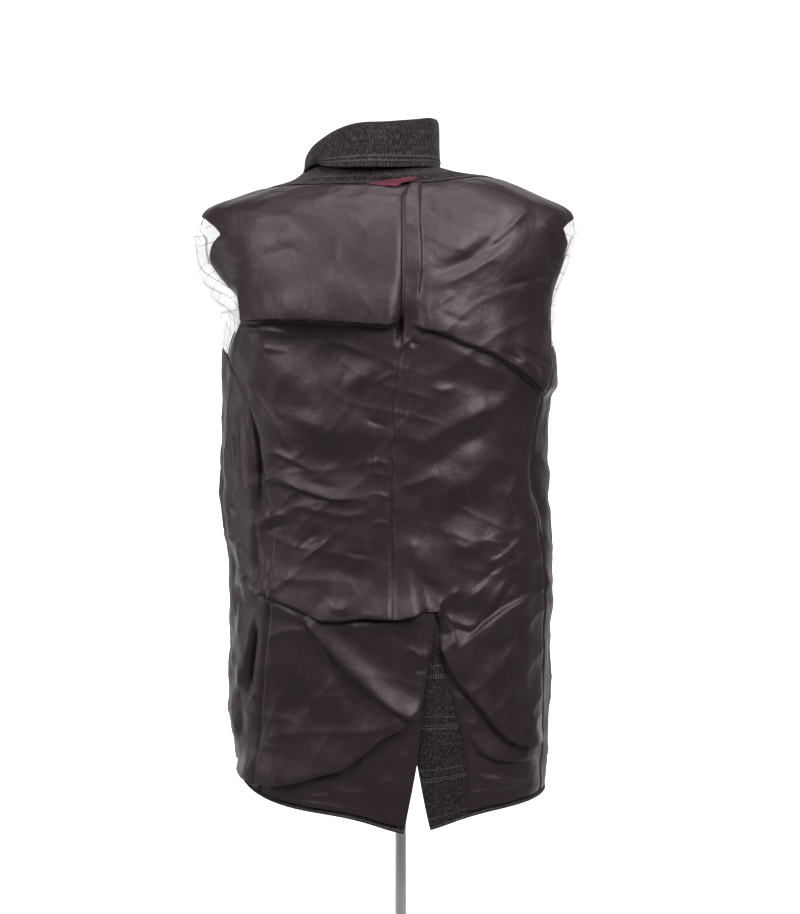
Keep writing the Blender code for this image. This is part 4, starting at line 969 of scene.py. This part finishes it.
def make_label():
    """A plain woven label, sewn into the lining's top seam and half turned under the band."""
    x, share = np.meshgrid(np.linspace(*LABEL_X, 40), np.linspace(0.0, 1.0, 12))
    across = (x - LABEL_X[0]) / (LABEL_X[1] - LABEL_X[0])
    low, high = (LABEL_LEVELS[0] + (LABEL_LEVELS[1] - LABEL_LEVELS[0]) * straight(edge, across)
                 for edge in (LABEL_LOW, LABEL_HIGH))
    levels = low + (high - low) * share
    angles = angle_at(x, levels)
    out = face_frame(angles, levels)[2]
    over_pleat = ease((x - PLEAT_LEFT) / LABEL_BEND + 1) * (PLEAT_HEIGHT + LAYER_GAP)
    over_facing = ease((levels - lining_top(angles)) / LABEL_BEND + 1) * FACING_OUT
    wave = sum(height * np.sin(x / length + start) for height, length, start in LABEL_WAVES)
    rise = LABEL_STAND_OFF + np.maximum(over_pleat, over_facing) + wave + LINING_RISE
    points = bare_points(angles, levels) + out * rise[..., None]
    shell("label", points + out * LABEL_THICK, points, laid_out(x, levels, 1.0))


def faced_out(rows, sample):
    """Normals of a tube that point away from its middle, as its sample of rows shows."""
    normals = sheet_normals(rows, wrap=True)
    away = rows - rows.mean(axis=1, keepdims=True)
    return normals * np.sign(np.sum(normals[sample] * away[sample], axis=2).mean())


def sleeve_rows(side, edge, out, inwards, turn):
    """Rings of a wool sleeve: the armhole, the bend inside it, and the hanging part."""
    def squared(share):
        return np.sign(share) * np.abs(share)**(2 / SLEEVE_SQUARENESS)

    hang = SIGN[side] * (SLEEVE_MIDDLE_ANGLE - SLEEVE_HALF_ANGLE * squared(np.sin(turn)))
    inset = (SLEEVE_NEAR + SLEEVE_FAR
             + (SLEEVE_FAR - SLEEVE_NEAR) * squared(np.cos(turn)))[:, None] / 2

    def hanging(at_level):
        level = np.full_like(hang, at_level)
        return bare_points(hang, level) - face_frame(hang, level)[2] * inset

    mouth = edge + inwards * MOUTH_GAP
    throat = mouth + inwards * THROAT_IN - out * MOUTH_DEPTH
    end = hanging(SLEEVE_TOP_LEVEL)
    reach = np.linalg.norm(end - throat, axis=1, keepdims=True) / 3
    first = throat + np.array((-SIGN[side] * 0.95, 0, -0.3)) * reach * THROAT_RUN
    second = end + np.array((0, 0, 1.0)) * reach
    t = np.linspace(0.0, 1.0, BEND_ROWS + 1)[1:, None, None]
    bend = ((1 - t)**3 * throat + 3 * (1 - t)**2 * t * first + 3 * (1 - t) * t**2 * second
            + t**3 * end)
    low = [hanging(at_level)
           for at_level in np.linspace(SLEEVE_TOP_LEVEL, CUFF_LEVEL, HANG_ROWS + 1)[1:]]
    return np.concatenate((mouth[None], throat[None], bend, low))


def puff_rows(side, edge, out, inwards, turn, angle, level):
    """Rings of the slack lining: out over the armhole's edge, round, and back in."""
    folds = sum((share * np.sin(count * turn + start) for share, count, start in PUFF_FOLDS), 1.0)
    middle = ease((level - UNDERARM - PUFF_FOOT) / PUFF_FADE) * ease((TIP - level) / PUFF_FADE)
    swell = (PUFF_OUT[side] * folds * middle)[:, None]
    turned = np.abs(angle)
    behind = (turned < 89.9) & (level > NOTCH[side][0][0])
    tucked = np.where(behind, np.minimum(straight(NOTCH[side], level) - NOTCH_TUCK, turned), turned)
    start = edge + inwards * PUFF_START_IN - out * PUFF_START_BACK
    under = (bare_points(SIGN[side] * tucked, level)
             - face_frame(SIGN[side] * tucked, level)[2] * PUFF_UNDER)
    under = np.where((tucked < turned)[:, None], under, start)
    t = np.linspace(0.0, 1.0, PUFF_ROWS)[:, None, None]
    opened = ease(t / PUFF_OPENS)
    return (under * (1 - opened) + start * opened
            + out * (swell * np.sin(math.pi * t)**PUFF_ROUND - PUFF_DROP * t * t)
            + inwards * PUFF_IN[side] * (1 - np.cos(math.pi * t)) / 2)


def make_sleeve(side):
    """A wool sleeve hanging inside the coat, and its lining, which puffs out of the armhole."""
    closed = ARMHOLES[side]
    run = run_of(closed)
    at = np.linspace(0.0, run[-1], SLEEVE_COLUMNS, endpoint=False)
    angle = SIGN[side] * np.interp(at, run, closed[:, 0]) / SIDE_STEP
    level = np.interp(at, run, closed[:, 1])
    edge, out = bare_points(angle, level), face_frame(angle, level)[2]
    inwards = unit(np.cross(out, np.roll(edge, -1, axis=0) - np.roll(edge, 1, axis=0)))
    inwards *= np.sign(np.sum(inwards * (edge.mean(axis=0) - edge), axis=1, keepdims=True))
    turn = 2 * np.pi * np.arange(SLEEVE_COLUMNS) / SLEEVE_COLUMNS
    rows = sleeve_rows(side, edge, out, inwards, turn)
    normals = faced_out(rows, slice(None))
    around, walk = np.meshgrid(at, run_of(rows))
    waves = SLEEVE_WAVE * np.sin(around / WAVE_AROUND + walk / WAVE_DOWN) * ease(walk / WAVE_FADE)
    outer = rows + normals * waves[..., None]
    add_tube(f"sleeve_wool_{side}", outer, outer - normals * WOOL, (around, walk), side)
    puff = puff_rows(side, edge, out, inwards, turn, angle, level)
    inside = outer[3:-3] - normals[3:-3] * (WOOL + SLEEVE_CLEAR)
    share = ease(np.linspace(0.0, 1.0, JOIN_ROWS + 2)[1:-1])[:, None, None]
    lining = np.concatenate((puff, puff[-1] * (1 - share) + inside[0] * share, inside))
    normals = faced_out(lining, slice(-20, None))
    around, walk = np.meshgrid(at, run_of(lining))
    mouth = (np.arange(len(lining)) < PUFF_ROWS + JOIN_ROWS // 2)[:, None]
    cloth = np.where(mouth, walk + 0.22 * around, around), np.where(mouth, around, walk)
    add_tube(f"lining_sleeve_{side}", lining, lining - normals * SLEEVE_LINING, cloth, side)


def add_tube(name, outer, inner, cloth, side):
    """A tube of cloth, with its columns turned so that it faces outwards."""
    cloth = np.stack(cloth, axis=-1)
    shell(name, *(grid[:, ::-SIGN[side]] for grid in (outer, inner, cloth)), wrap=True)


# ---- finishes
class Signal:
    """A number that varies over a finish."""

    def __init__(self, finish, socket):
        self.finish, self.socket = finish, socket

    def _math(self, operation, *values):
        inputs = dict(enumerate(values))
        return self.finish.node("ShaderNodeMath", {"operation": operation}, inputs)

    def __add__(self, other):
        return self._math("ADD", self, other)

    def __sub__(self, other):
        return self._math("SUBTRACT", self, other)

    def __rsub__(self, other):
        return self._math("SUBTRACT", other, self)

    def __mul__(self, other):
        return self._math("MULTIPLY", self, other)

    __radd__, __rmul__ = __add__, __mul__

    def waves(self, length):
        """A sine that repeats after a length of it."""
        return self._math("SINE", self * (2 * math.pi / length))

    def distance(self):
        """Its size without its sign."""
        return self._math("ABSOLUTE", self)

    def repeated(self, period):
        """A saw that climbs from 0 to the period again and again."""
        return self._math("FLOORED_MODULO", self, period)


class Finish:
    """A material built node by node on one shader."""

    def __init__(self, name, roughness, **constants):
        self.material = bpy.data.materials.new(name)
        self.material.use_nodes = True
        self.tree = self.material.node_tree
        self.shader = self.tree.nodes["Principled BSDF"]
        self.shader.inputs["Roughness"].default_value = roughness
        for key, value in constants.items():
            self.shader.inputs[key.replace("_", " ")].default_value = value

    def node(self, kind, settings=None, inputs=None, output=0):
        """A node with its settings, then its inputs; gives the chosen output."""
        node = self.tree.nodes.new(kind)
        for key, value in (settings or {}).items():
            setattr(node, key, value)
        for key, value in (inputs or {}).items():
            if isinstance(value, Signal):
                self.tree.links.new(value.socket, node.inputs[key])
            else:
                node.inputs[key].default_value = value
        return Signal(self, node.outputs[output])

    def feed(self, key, signal):
        """Drive one of the shader's sockets."""
        self.tree.links.new(signal.socket, self.shader.inputs[key])

    def on_cloth(self):
        """The flat cloth's two directions, in metres, and the point itself."""
        laid = self.node("ShaderNodeAttribute", {"attribute_name": "cloth"}, output=1)
        across = self.node("ShaderNodeSeparateXYZ", inputs={0: laid})
        up = Signal(self, across.socket.node.outputs[1])
        return across, up, laid

    def noise(self, at, scale, detail=2.0, roughness=0.5, stretch=None):
        """Soft random variation from 0 to 1, at a number of waves to the metre."""
        if stretch:
            at = self.node("ShaderNodeVectorMath", {"operation": "MULTIPLY"}, {0: at, 1: stretch})
        return self.node("ShaderNodeTexNoise", None, {"Vector": at, "Scale": scale,
                                                      "Detail": detail, "Roughness": roughness})

    def ridges(self, at, scale):
        """Thin branching ridges, like the creases of crumpled cloth."""
        return self.node("ShaderNodeTexNoise", {"noise_type": "RIDGED_MULTIFRACTAL"},
                         {"Vector": at, "Scale": scale, "Detail": 2.0, "Distortion": 0.4})

    def step(self, signal, low, high, bottom=0.0, top=1.0):
        """A soft step between two values."""
        return self.node("ShaderNodeMapRange", {"interpolation_type": "SMOOTHSTEP"},
                         {0: signal, 1: low, 2: high, 3: bottom, 4: top})

    def mix(self, share, first, second):
        """A blend of two colours, each (r, g, b) or another blend."""
        first, second = (value if isinstance(value, Signal) else (*value, 1.0)
                         for value in (first, second))
        return self.node("ShaderNodeMix", {"data_type": "RGBA"}, {0: share, 6: first, 7: second}, 2)

    def bumps(self, *layers):
        """Relief in layers of (height, depth in metres, strength)."""
        normal = None
        for height, depth, strength in layers:
            inputs = {"Strength": strength, "Distance": depth, "Height": height}
            if normal is not None:
                inputs["Normal"] = normal
            normal = self.node("ShaderNodeBump", inputs=inputs)
        self.feed("Normal", normal)


def satin():
    """Dark polyester satin with a low, soft lustre."""
    finish = Finish("satin", 0.46, Sheen_Weight=0.10, Sheen_Roughness=0.4, Specular_IOR_Level=0.6,
                    Sheen_Tint=(0.95, 0.78, 0.85, 1.0), Specular_Tint=(1.0, 0.84, 0.90, 1.0))
    across, up, laid = finish.on_cloth()
    tone = finish.noise(laid, 9.0, 3.0)
    worn = finish.noise(laid, 55.0, 4.0, 0.6, (1.0, 0.6, 1.0))
    colour = finish.mix(finish.step(tone, 0.3, 0.7), SATIN_DARK, SATIN_LIGHT)
    colour = finish.mix(finish.step(worn, 0.45, 0.75, 0.0, 0.35), colour, SATIN_WARM)
    # painted shade: in deep troughs and under ledges the colour goes near black and the surface
    # turns metallic, which takes its sheen away
    painted_shade = finish.node("ShaderNodeAttribute", {"attribute_name": "painted_shade"}, output=2)
    finish.feed("Base Color", finish.mix(finish.step(painted_shade, 0.0, 1.0), colour, SATIN_PAINTED_SHADE))
    finish.feed("Metallic", finish.step(painted_shade, 0.0, 1.0, 0.0, 0.78))
    away = finish.step(across.distance(), 0.22, 0.32, 0.0, 0.26)
    finish.feed("Roughness", finish.step(worn, 0.2, 0.8, 0.40, 0.48) + away)
    threads = across.waves(THREAD) * up.waves(THREAD)
    streaks = finish.noise(laid, 500.0, 2.0, 0.6, (1.0, 0.03, 1.0))
    crumple = finish.noise(laid, 30.0, 3.0, 0.5)
    wrinkle = finish.ridges(laid, 24.0)
    pucker = finish.noise(laid, 140.0, 3.0, 0.6, (1.0, 0.7, 1.0))
    finish.bumps((crumple, 2.6 * MM, 0.6), (wrinkle, 1.5 * MM, 0.6), (pucker, 0.55 * MM, 0.6),
                 (streaks, 0.10 * MM, 0.5), (threads, 0.03 * MM, 0.25))
    return finish.material


def wool(name):
    """Charcoal wool with a short nap, light flecks and a faint check of dotted lines."""
    finish = Finish(name, 0.92, Sheen_Weight=0.14, Sheen_Roughness=0.5, Specular_IOR_Level=0.2,
                    Sheen_Tint=(0.90, 0.80, 0.86, 1.0))
    across, up, laid = finish.on_cloth()
    nap = finish.noise(laid, 420.0, 4.0, 0.8, (1.0, 0.5, 1.0))
    fleck = finish.noise(laid, 640.0, 2.0, 0.7, (1.0, 0.4, 1.0))
    blot = finish.noise(laid, 60.0, 3.0)
    colour = finish.mix(finish.step(nap, 0.36, 0.66), WOOL_DARK, WOOL_LIGHT)
    colour = finish.mix(finish.step(fleck, 0.54, 0.70, 0.0, 0.5), colour, WOOL_FLECK)
    colour = finish.mix(finish.step(blot, 0.35, 0.75, 0.0, 0.35), colour, WOOL_DARK)
    for along, other, strength in ((across, up, 0.25), (up, across, 0.9)):
        dots = finish.step(other.waves(DOT) + fleck, 0.1, 1.1)
        for place in CHECK_LINES:
            line = ((along + (CHECK - place)).repeated(CHECK) - CHECK / 2).distance()
            share = finish.step(line, CHECK_LINE / 2, CHECK_LINE, strength, 0.0) * dots
            colour = finish.mix(share, colour, WOOL_LINE)
    finish.feed("Base Color", colour)
    twill = (across + up).waves(TWILL)
    finish.bumps((blot, 1.2 * MM, 0.5), (nap, 1.2 * MM, 0.9), (twill, 0.12 * MM, 0.4))
    return finish.material


def striped_satin():
    """White sleeve lining with a fine grey windowpane; it glows a little with painted light,
    brighter than the lamps make it.
    """
    finish = Finish("striped_satin", 0.42, Sheen_Weight=0.1, Specular_IOR_Level=0.5,
                    Emission_Strength=WHITE_PAINTED_GLOW)
    across, up, laid = finish.on_cloth()
    wander = finish.noise(laid, 6.0, 1.0)
    shade = finish.noise(laid, 30.0, 2.0)
    colour = finish.mix(finish.step(shade, 0.3, 0.7), WHITE_DARK, WHITE_LIGHT)
    for along, gap, strength in ((across, STRIPE, 0.75), (up, STRIPE_CROSS, 0.6)):
        place = (along + wander * 0.004).repeated(gap)
        share = finish.step((place - gap / 2).distance(), 0.45 * MM, 0.95 * MM, strength, 0.0)
        colour = finish.mix(share, colour, STRIPE_GREY)
    finish.feed("Base Color", colour)
    # painted light: the cloth glows in its own colours, brighter than the lamps make it
    finish.feed("Emission Color", colour)
    threads = across.waves(THREAD) * up.waves(THREAD)
    finish.bumps((finish.noise(laid, 70.0, 3.0), 1.0 * MM, 0.5), (threads, 0.03 * MM, 0.25))
    return finish.material


def woven_label():
    """Plain burgundy label cloth."""
    finish = Finish("woven_label", 0.6, Sheen_Weight=0.2, Specular_IOR_Level=0.35)
    up, laid = finish.on_cloth()[1:]
    ribs = up.waves(RIB)
    shade = finish.noise(laid, 260.0, 2.0)
    colour = finish.mix(finish.step(shade, 0.3, 0.7), BURGUNDY_DARK, BURGUNDY)
    finish.feed("Base Color", finish.mix(finish.step(ribs, 0.2, 1.0, 0.0, 0.3), colour, RIB_TOP))
    finish.bumps((ribs, 0.12 * MM, 0.5))
    return finish.material


def surface(name, dark, light, roughness, scale, grain, depth, **constants):
    """A hard or knitted surface with slight changes of tone, gloss and relief."""
    finish = Finish(name, roughness, **constants)
    place = finish.node("ShaderNodeTexCoord", output=3)
    tone = finish.noise(place, scale, 3.0)
    fine = finish.noise(place, grain, 2.0, 0.6)
    finish.feed("Base Color", finish.mix(finish.step(tone, 0.3, 0.7), dark, light))
    finish.feed("Roughness", finish.step(fine, 0.2, 0.8, roughness - 0.05, roughness + 0.05))
    finish.bumps((fine, depth, 0.4))
    return finish.material


def soft_light(name, place, target, size, spread, power):
    """A square soft box aimed at a point."""
    data = bpy.data.lights.new(name, "AREA")
    data.shape, data.size, data.energy, data.spread = "SQUARE", size, power, math.radians(spread)
    light = bpy.data.objects.new(name, data)
    light.location = place
    light.rotation_euler = (Vector(target) - Vector(place)).to_track_quat("-Z", "Y").to_euler()
    bpy.context.scene.collection.objects.link(light)


def stage_sheet(name, line, colour, roughness, glow):
    """A floor or backdrop: a line of (y, z) points, drawn out to both sides."""
    corners = [(x, y, z) for y, z in line for x in (-STAGE_HALF, STAGE_HALF)]
    faces = [(i, i + 1, i + 3, i + 2) for i in range(0, len(corners) - 2, 2)]
    mesh = bpy.data.meshes.new(name)
    mesh.from_pydata(corners, [], faces)
    finish = Finish(name, roughness, Emission_Strength=glow, Emission_Color=(*colour, 1.0))
    finish.shader.inputs["Base Color"].default_value = (*colour, 1.0)
    mesh.materials.append(finish.material)
    sheet = bpy.data.objects.new(name, mesh)
    bpy.context.scene.collection.objects.link(sheet)


# ---- the whole
# piece: (CAD node, slot, flat width, flat length, flat area)
SHEETS = {
    "back_lining_left": ("lining_back_left", "dark_satin", 0.33, 0.90, 0.190),
    "back_lining_right": ("lining_back_right", "dark_satin", 0.27, 0.90, 0.163),
    "back_wool_left": ("wool_back_left", "charcoal_wool", 0.33, 0.94, 0.186),
    "back_wool_right": ("wool_back_right", "charcoal_wool", 0.28, 0.94, 0.172),
    "facing_vent": ("vent_facing", "charcoal_wool", 0.090, 0.270, 0.0162),
    "front_lining_left": ("lining_front_left", "dark_satin", 0.36, 0.90, 0.208),
    "front_lining_right": ("lining_front_right", "dark_satin", 0.33, 0.90, 0.195),
    "front_wool_left": ("wool_front_left", "charcoal_wool", 0.46, 0.94, 0.279),
    "front_wool_right": ("wool_front_right", "charcoal_wool", 0.43, 0.94, 0.269),
    "front_facing_left_cloth": ("front_facing_left", "charcoal_wool", 0.13, 0.92, 0.0865),
    "front_facing_right_cloth": ("front_facing_right", "charcoal_wool", 0.13, 0.92, 0.0880),
    "facing_neck": ("neck_facing", "charcoal_wool", 0.46, 0.095, 0.0240),
    "collar_cloth": ("collar", "charcoal_wool", 0.51, 0.110, 0.0470),
    "label": ("neck_label", "label_satin", 0.062, 0.016, 0.00060),
    "sleeve_wool_left": ("sleeve_left", "charcoal_wool", 0.40, 0.44, 0.147),
    "sleeve_wool_right": ("sleeve_right", "charcoal_wool", 0.40, 0.44, 0.146),
    "lining_sleeve_left": ("sleeve_lining_left", "sleeve_satin", 0.40, 0.50, 0.160),
    "lining_sleeve_right": ("sleeve_lining_right", "sleeve_satin", 0.40, 0.48, 0.146),
}


def build():
    """Every piece of cloth, its finish and what it stands for."""
    for side in ("left", "right"):
        make_back(side)
        make_front(side)
        make_sleeve(side)
    make_neck_facing()
    make_collar()
    make_label()
    finishes = {"dark_satin": satin(), "charcoal_wool": wool("wool"),
                "sleeve_satin": striped_satin(), "label_satin": woven_label()}
    for name, (node, slot, width, length, area) in SHEETS.items():
        piece = bpy.data.objects[name]
        piece.data.materials.append(finishes[slot])
        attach(piece, "root")
        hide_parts(node)


def dress_form(nodes):
    """The form keeps its solids and gets its real surfaces."""
    looks = {
        "form_torso": surface("jersey", (0.66, 0.64, 0.60), (0.76, 0.74, 0.70), 0.85, 12.0, 900.0,
                              0.3 * MM, Sheen_Weight=0.3),
        "form_neck_cap": surface("cap", (0.70, 0.67, 0.63), (0.80, 0.77, 0.73), 0.40, 20.0, 160.0,
                                 0.1 * MM),
        "form_pole": surface("steel", (0.88, 0.87, 0.86), (0.95, 0.94, 0.93), 0.42, 8.0, 400.0,
                             0.02 * MM, Metallic=0.85),
        "form_base": surface("enamel", (0.80, 0.80, 0.79), (0.86, 0.86, 0.85), 0.32, 14.0, 300.0,
                             0.03 * MM, Coat_Weight=0.3),
    }
    for name, material in looks.items():
        nodes[name].data.materials[0] = material


def camera_and_light():
    """Eye level with the coat's middle, straight on to its back, in soft white light."""
    scene = bpy.context.scene
    data = bpy.data.cameras.new("camera")
    data.lens, data.sensor_width, data.sensor_fit = LENS, 36.0, "AUTO"
    camera = bpy.data.objects.new("camera", data)
    camera.location = VIEW_FROM
    camera.rotation_euler = (math.pi / 2, 0.0, 0.0)
    scene.collection.objects.link(camera)
    scene.camera = camera
    world = bpy.data.worlds.new("studio")
    world.use_nodes = True
    sky = world.node_tree.nodes["Background"].inputs
    sky[0].default_value, sky[1].default_value = (1.0, 1.0, 1.0, 1.0), WORLD_LIGHT
    scene.world = world
    scene.view_settings.view_transform = "Standard"
    for light in LIGHTS:
        soft_light(*light)
    stage_sheet("floor", ((-STAGE_HALF, -FLOOR_GAP), (SWEEP_Y, -FLOOR_GAP)),
                (0.62, 0.62, 0.62), 0.7, 0.0)
    stage_sheet("backdrop", ((SWEEP_Y, -FLOOR_GAP), (BACKDROP_Y - 0.3, -FLOOR_GAP),
                             (BACKDROP_Y, 0.3), (BACKDROP_Y, 2 * STAGE_HALF)),
                (1.0, 1.0, 1.0), 0.9, 1.0)


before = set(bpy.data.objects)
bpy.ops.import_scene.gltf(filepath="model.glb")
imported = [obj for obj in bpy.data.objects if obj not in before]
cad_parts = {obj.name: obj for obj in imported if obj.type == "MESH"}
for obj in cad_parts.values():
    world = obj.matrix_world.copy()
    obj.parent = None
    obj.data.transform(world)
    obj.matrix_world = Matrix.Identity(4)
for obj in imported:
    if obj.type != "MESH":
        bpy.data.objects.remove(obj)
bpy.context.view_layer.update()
build()
dress_form(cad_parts)
camera_and_light()
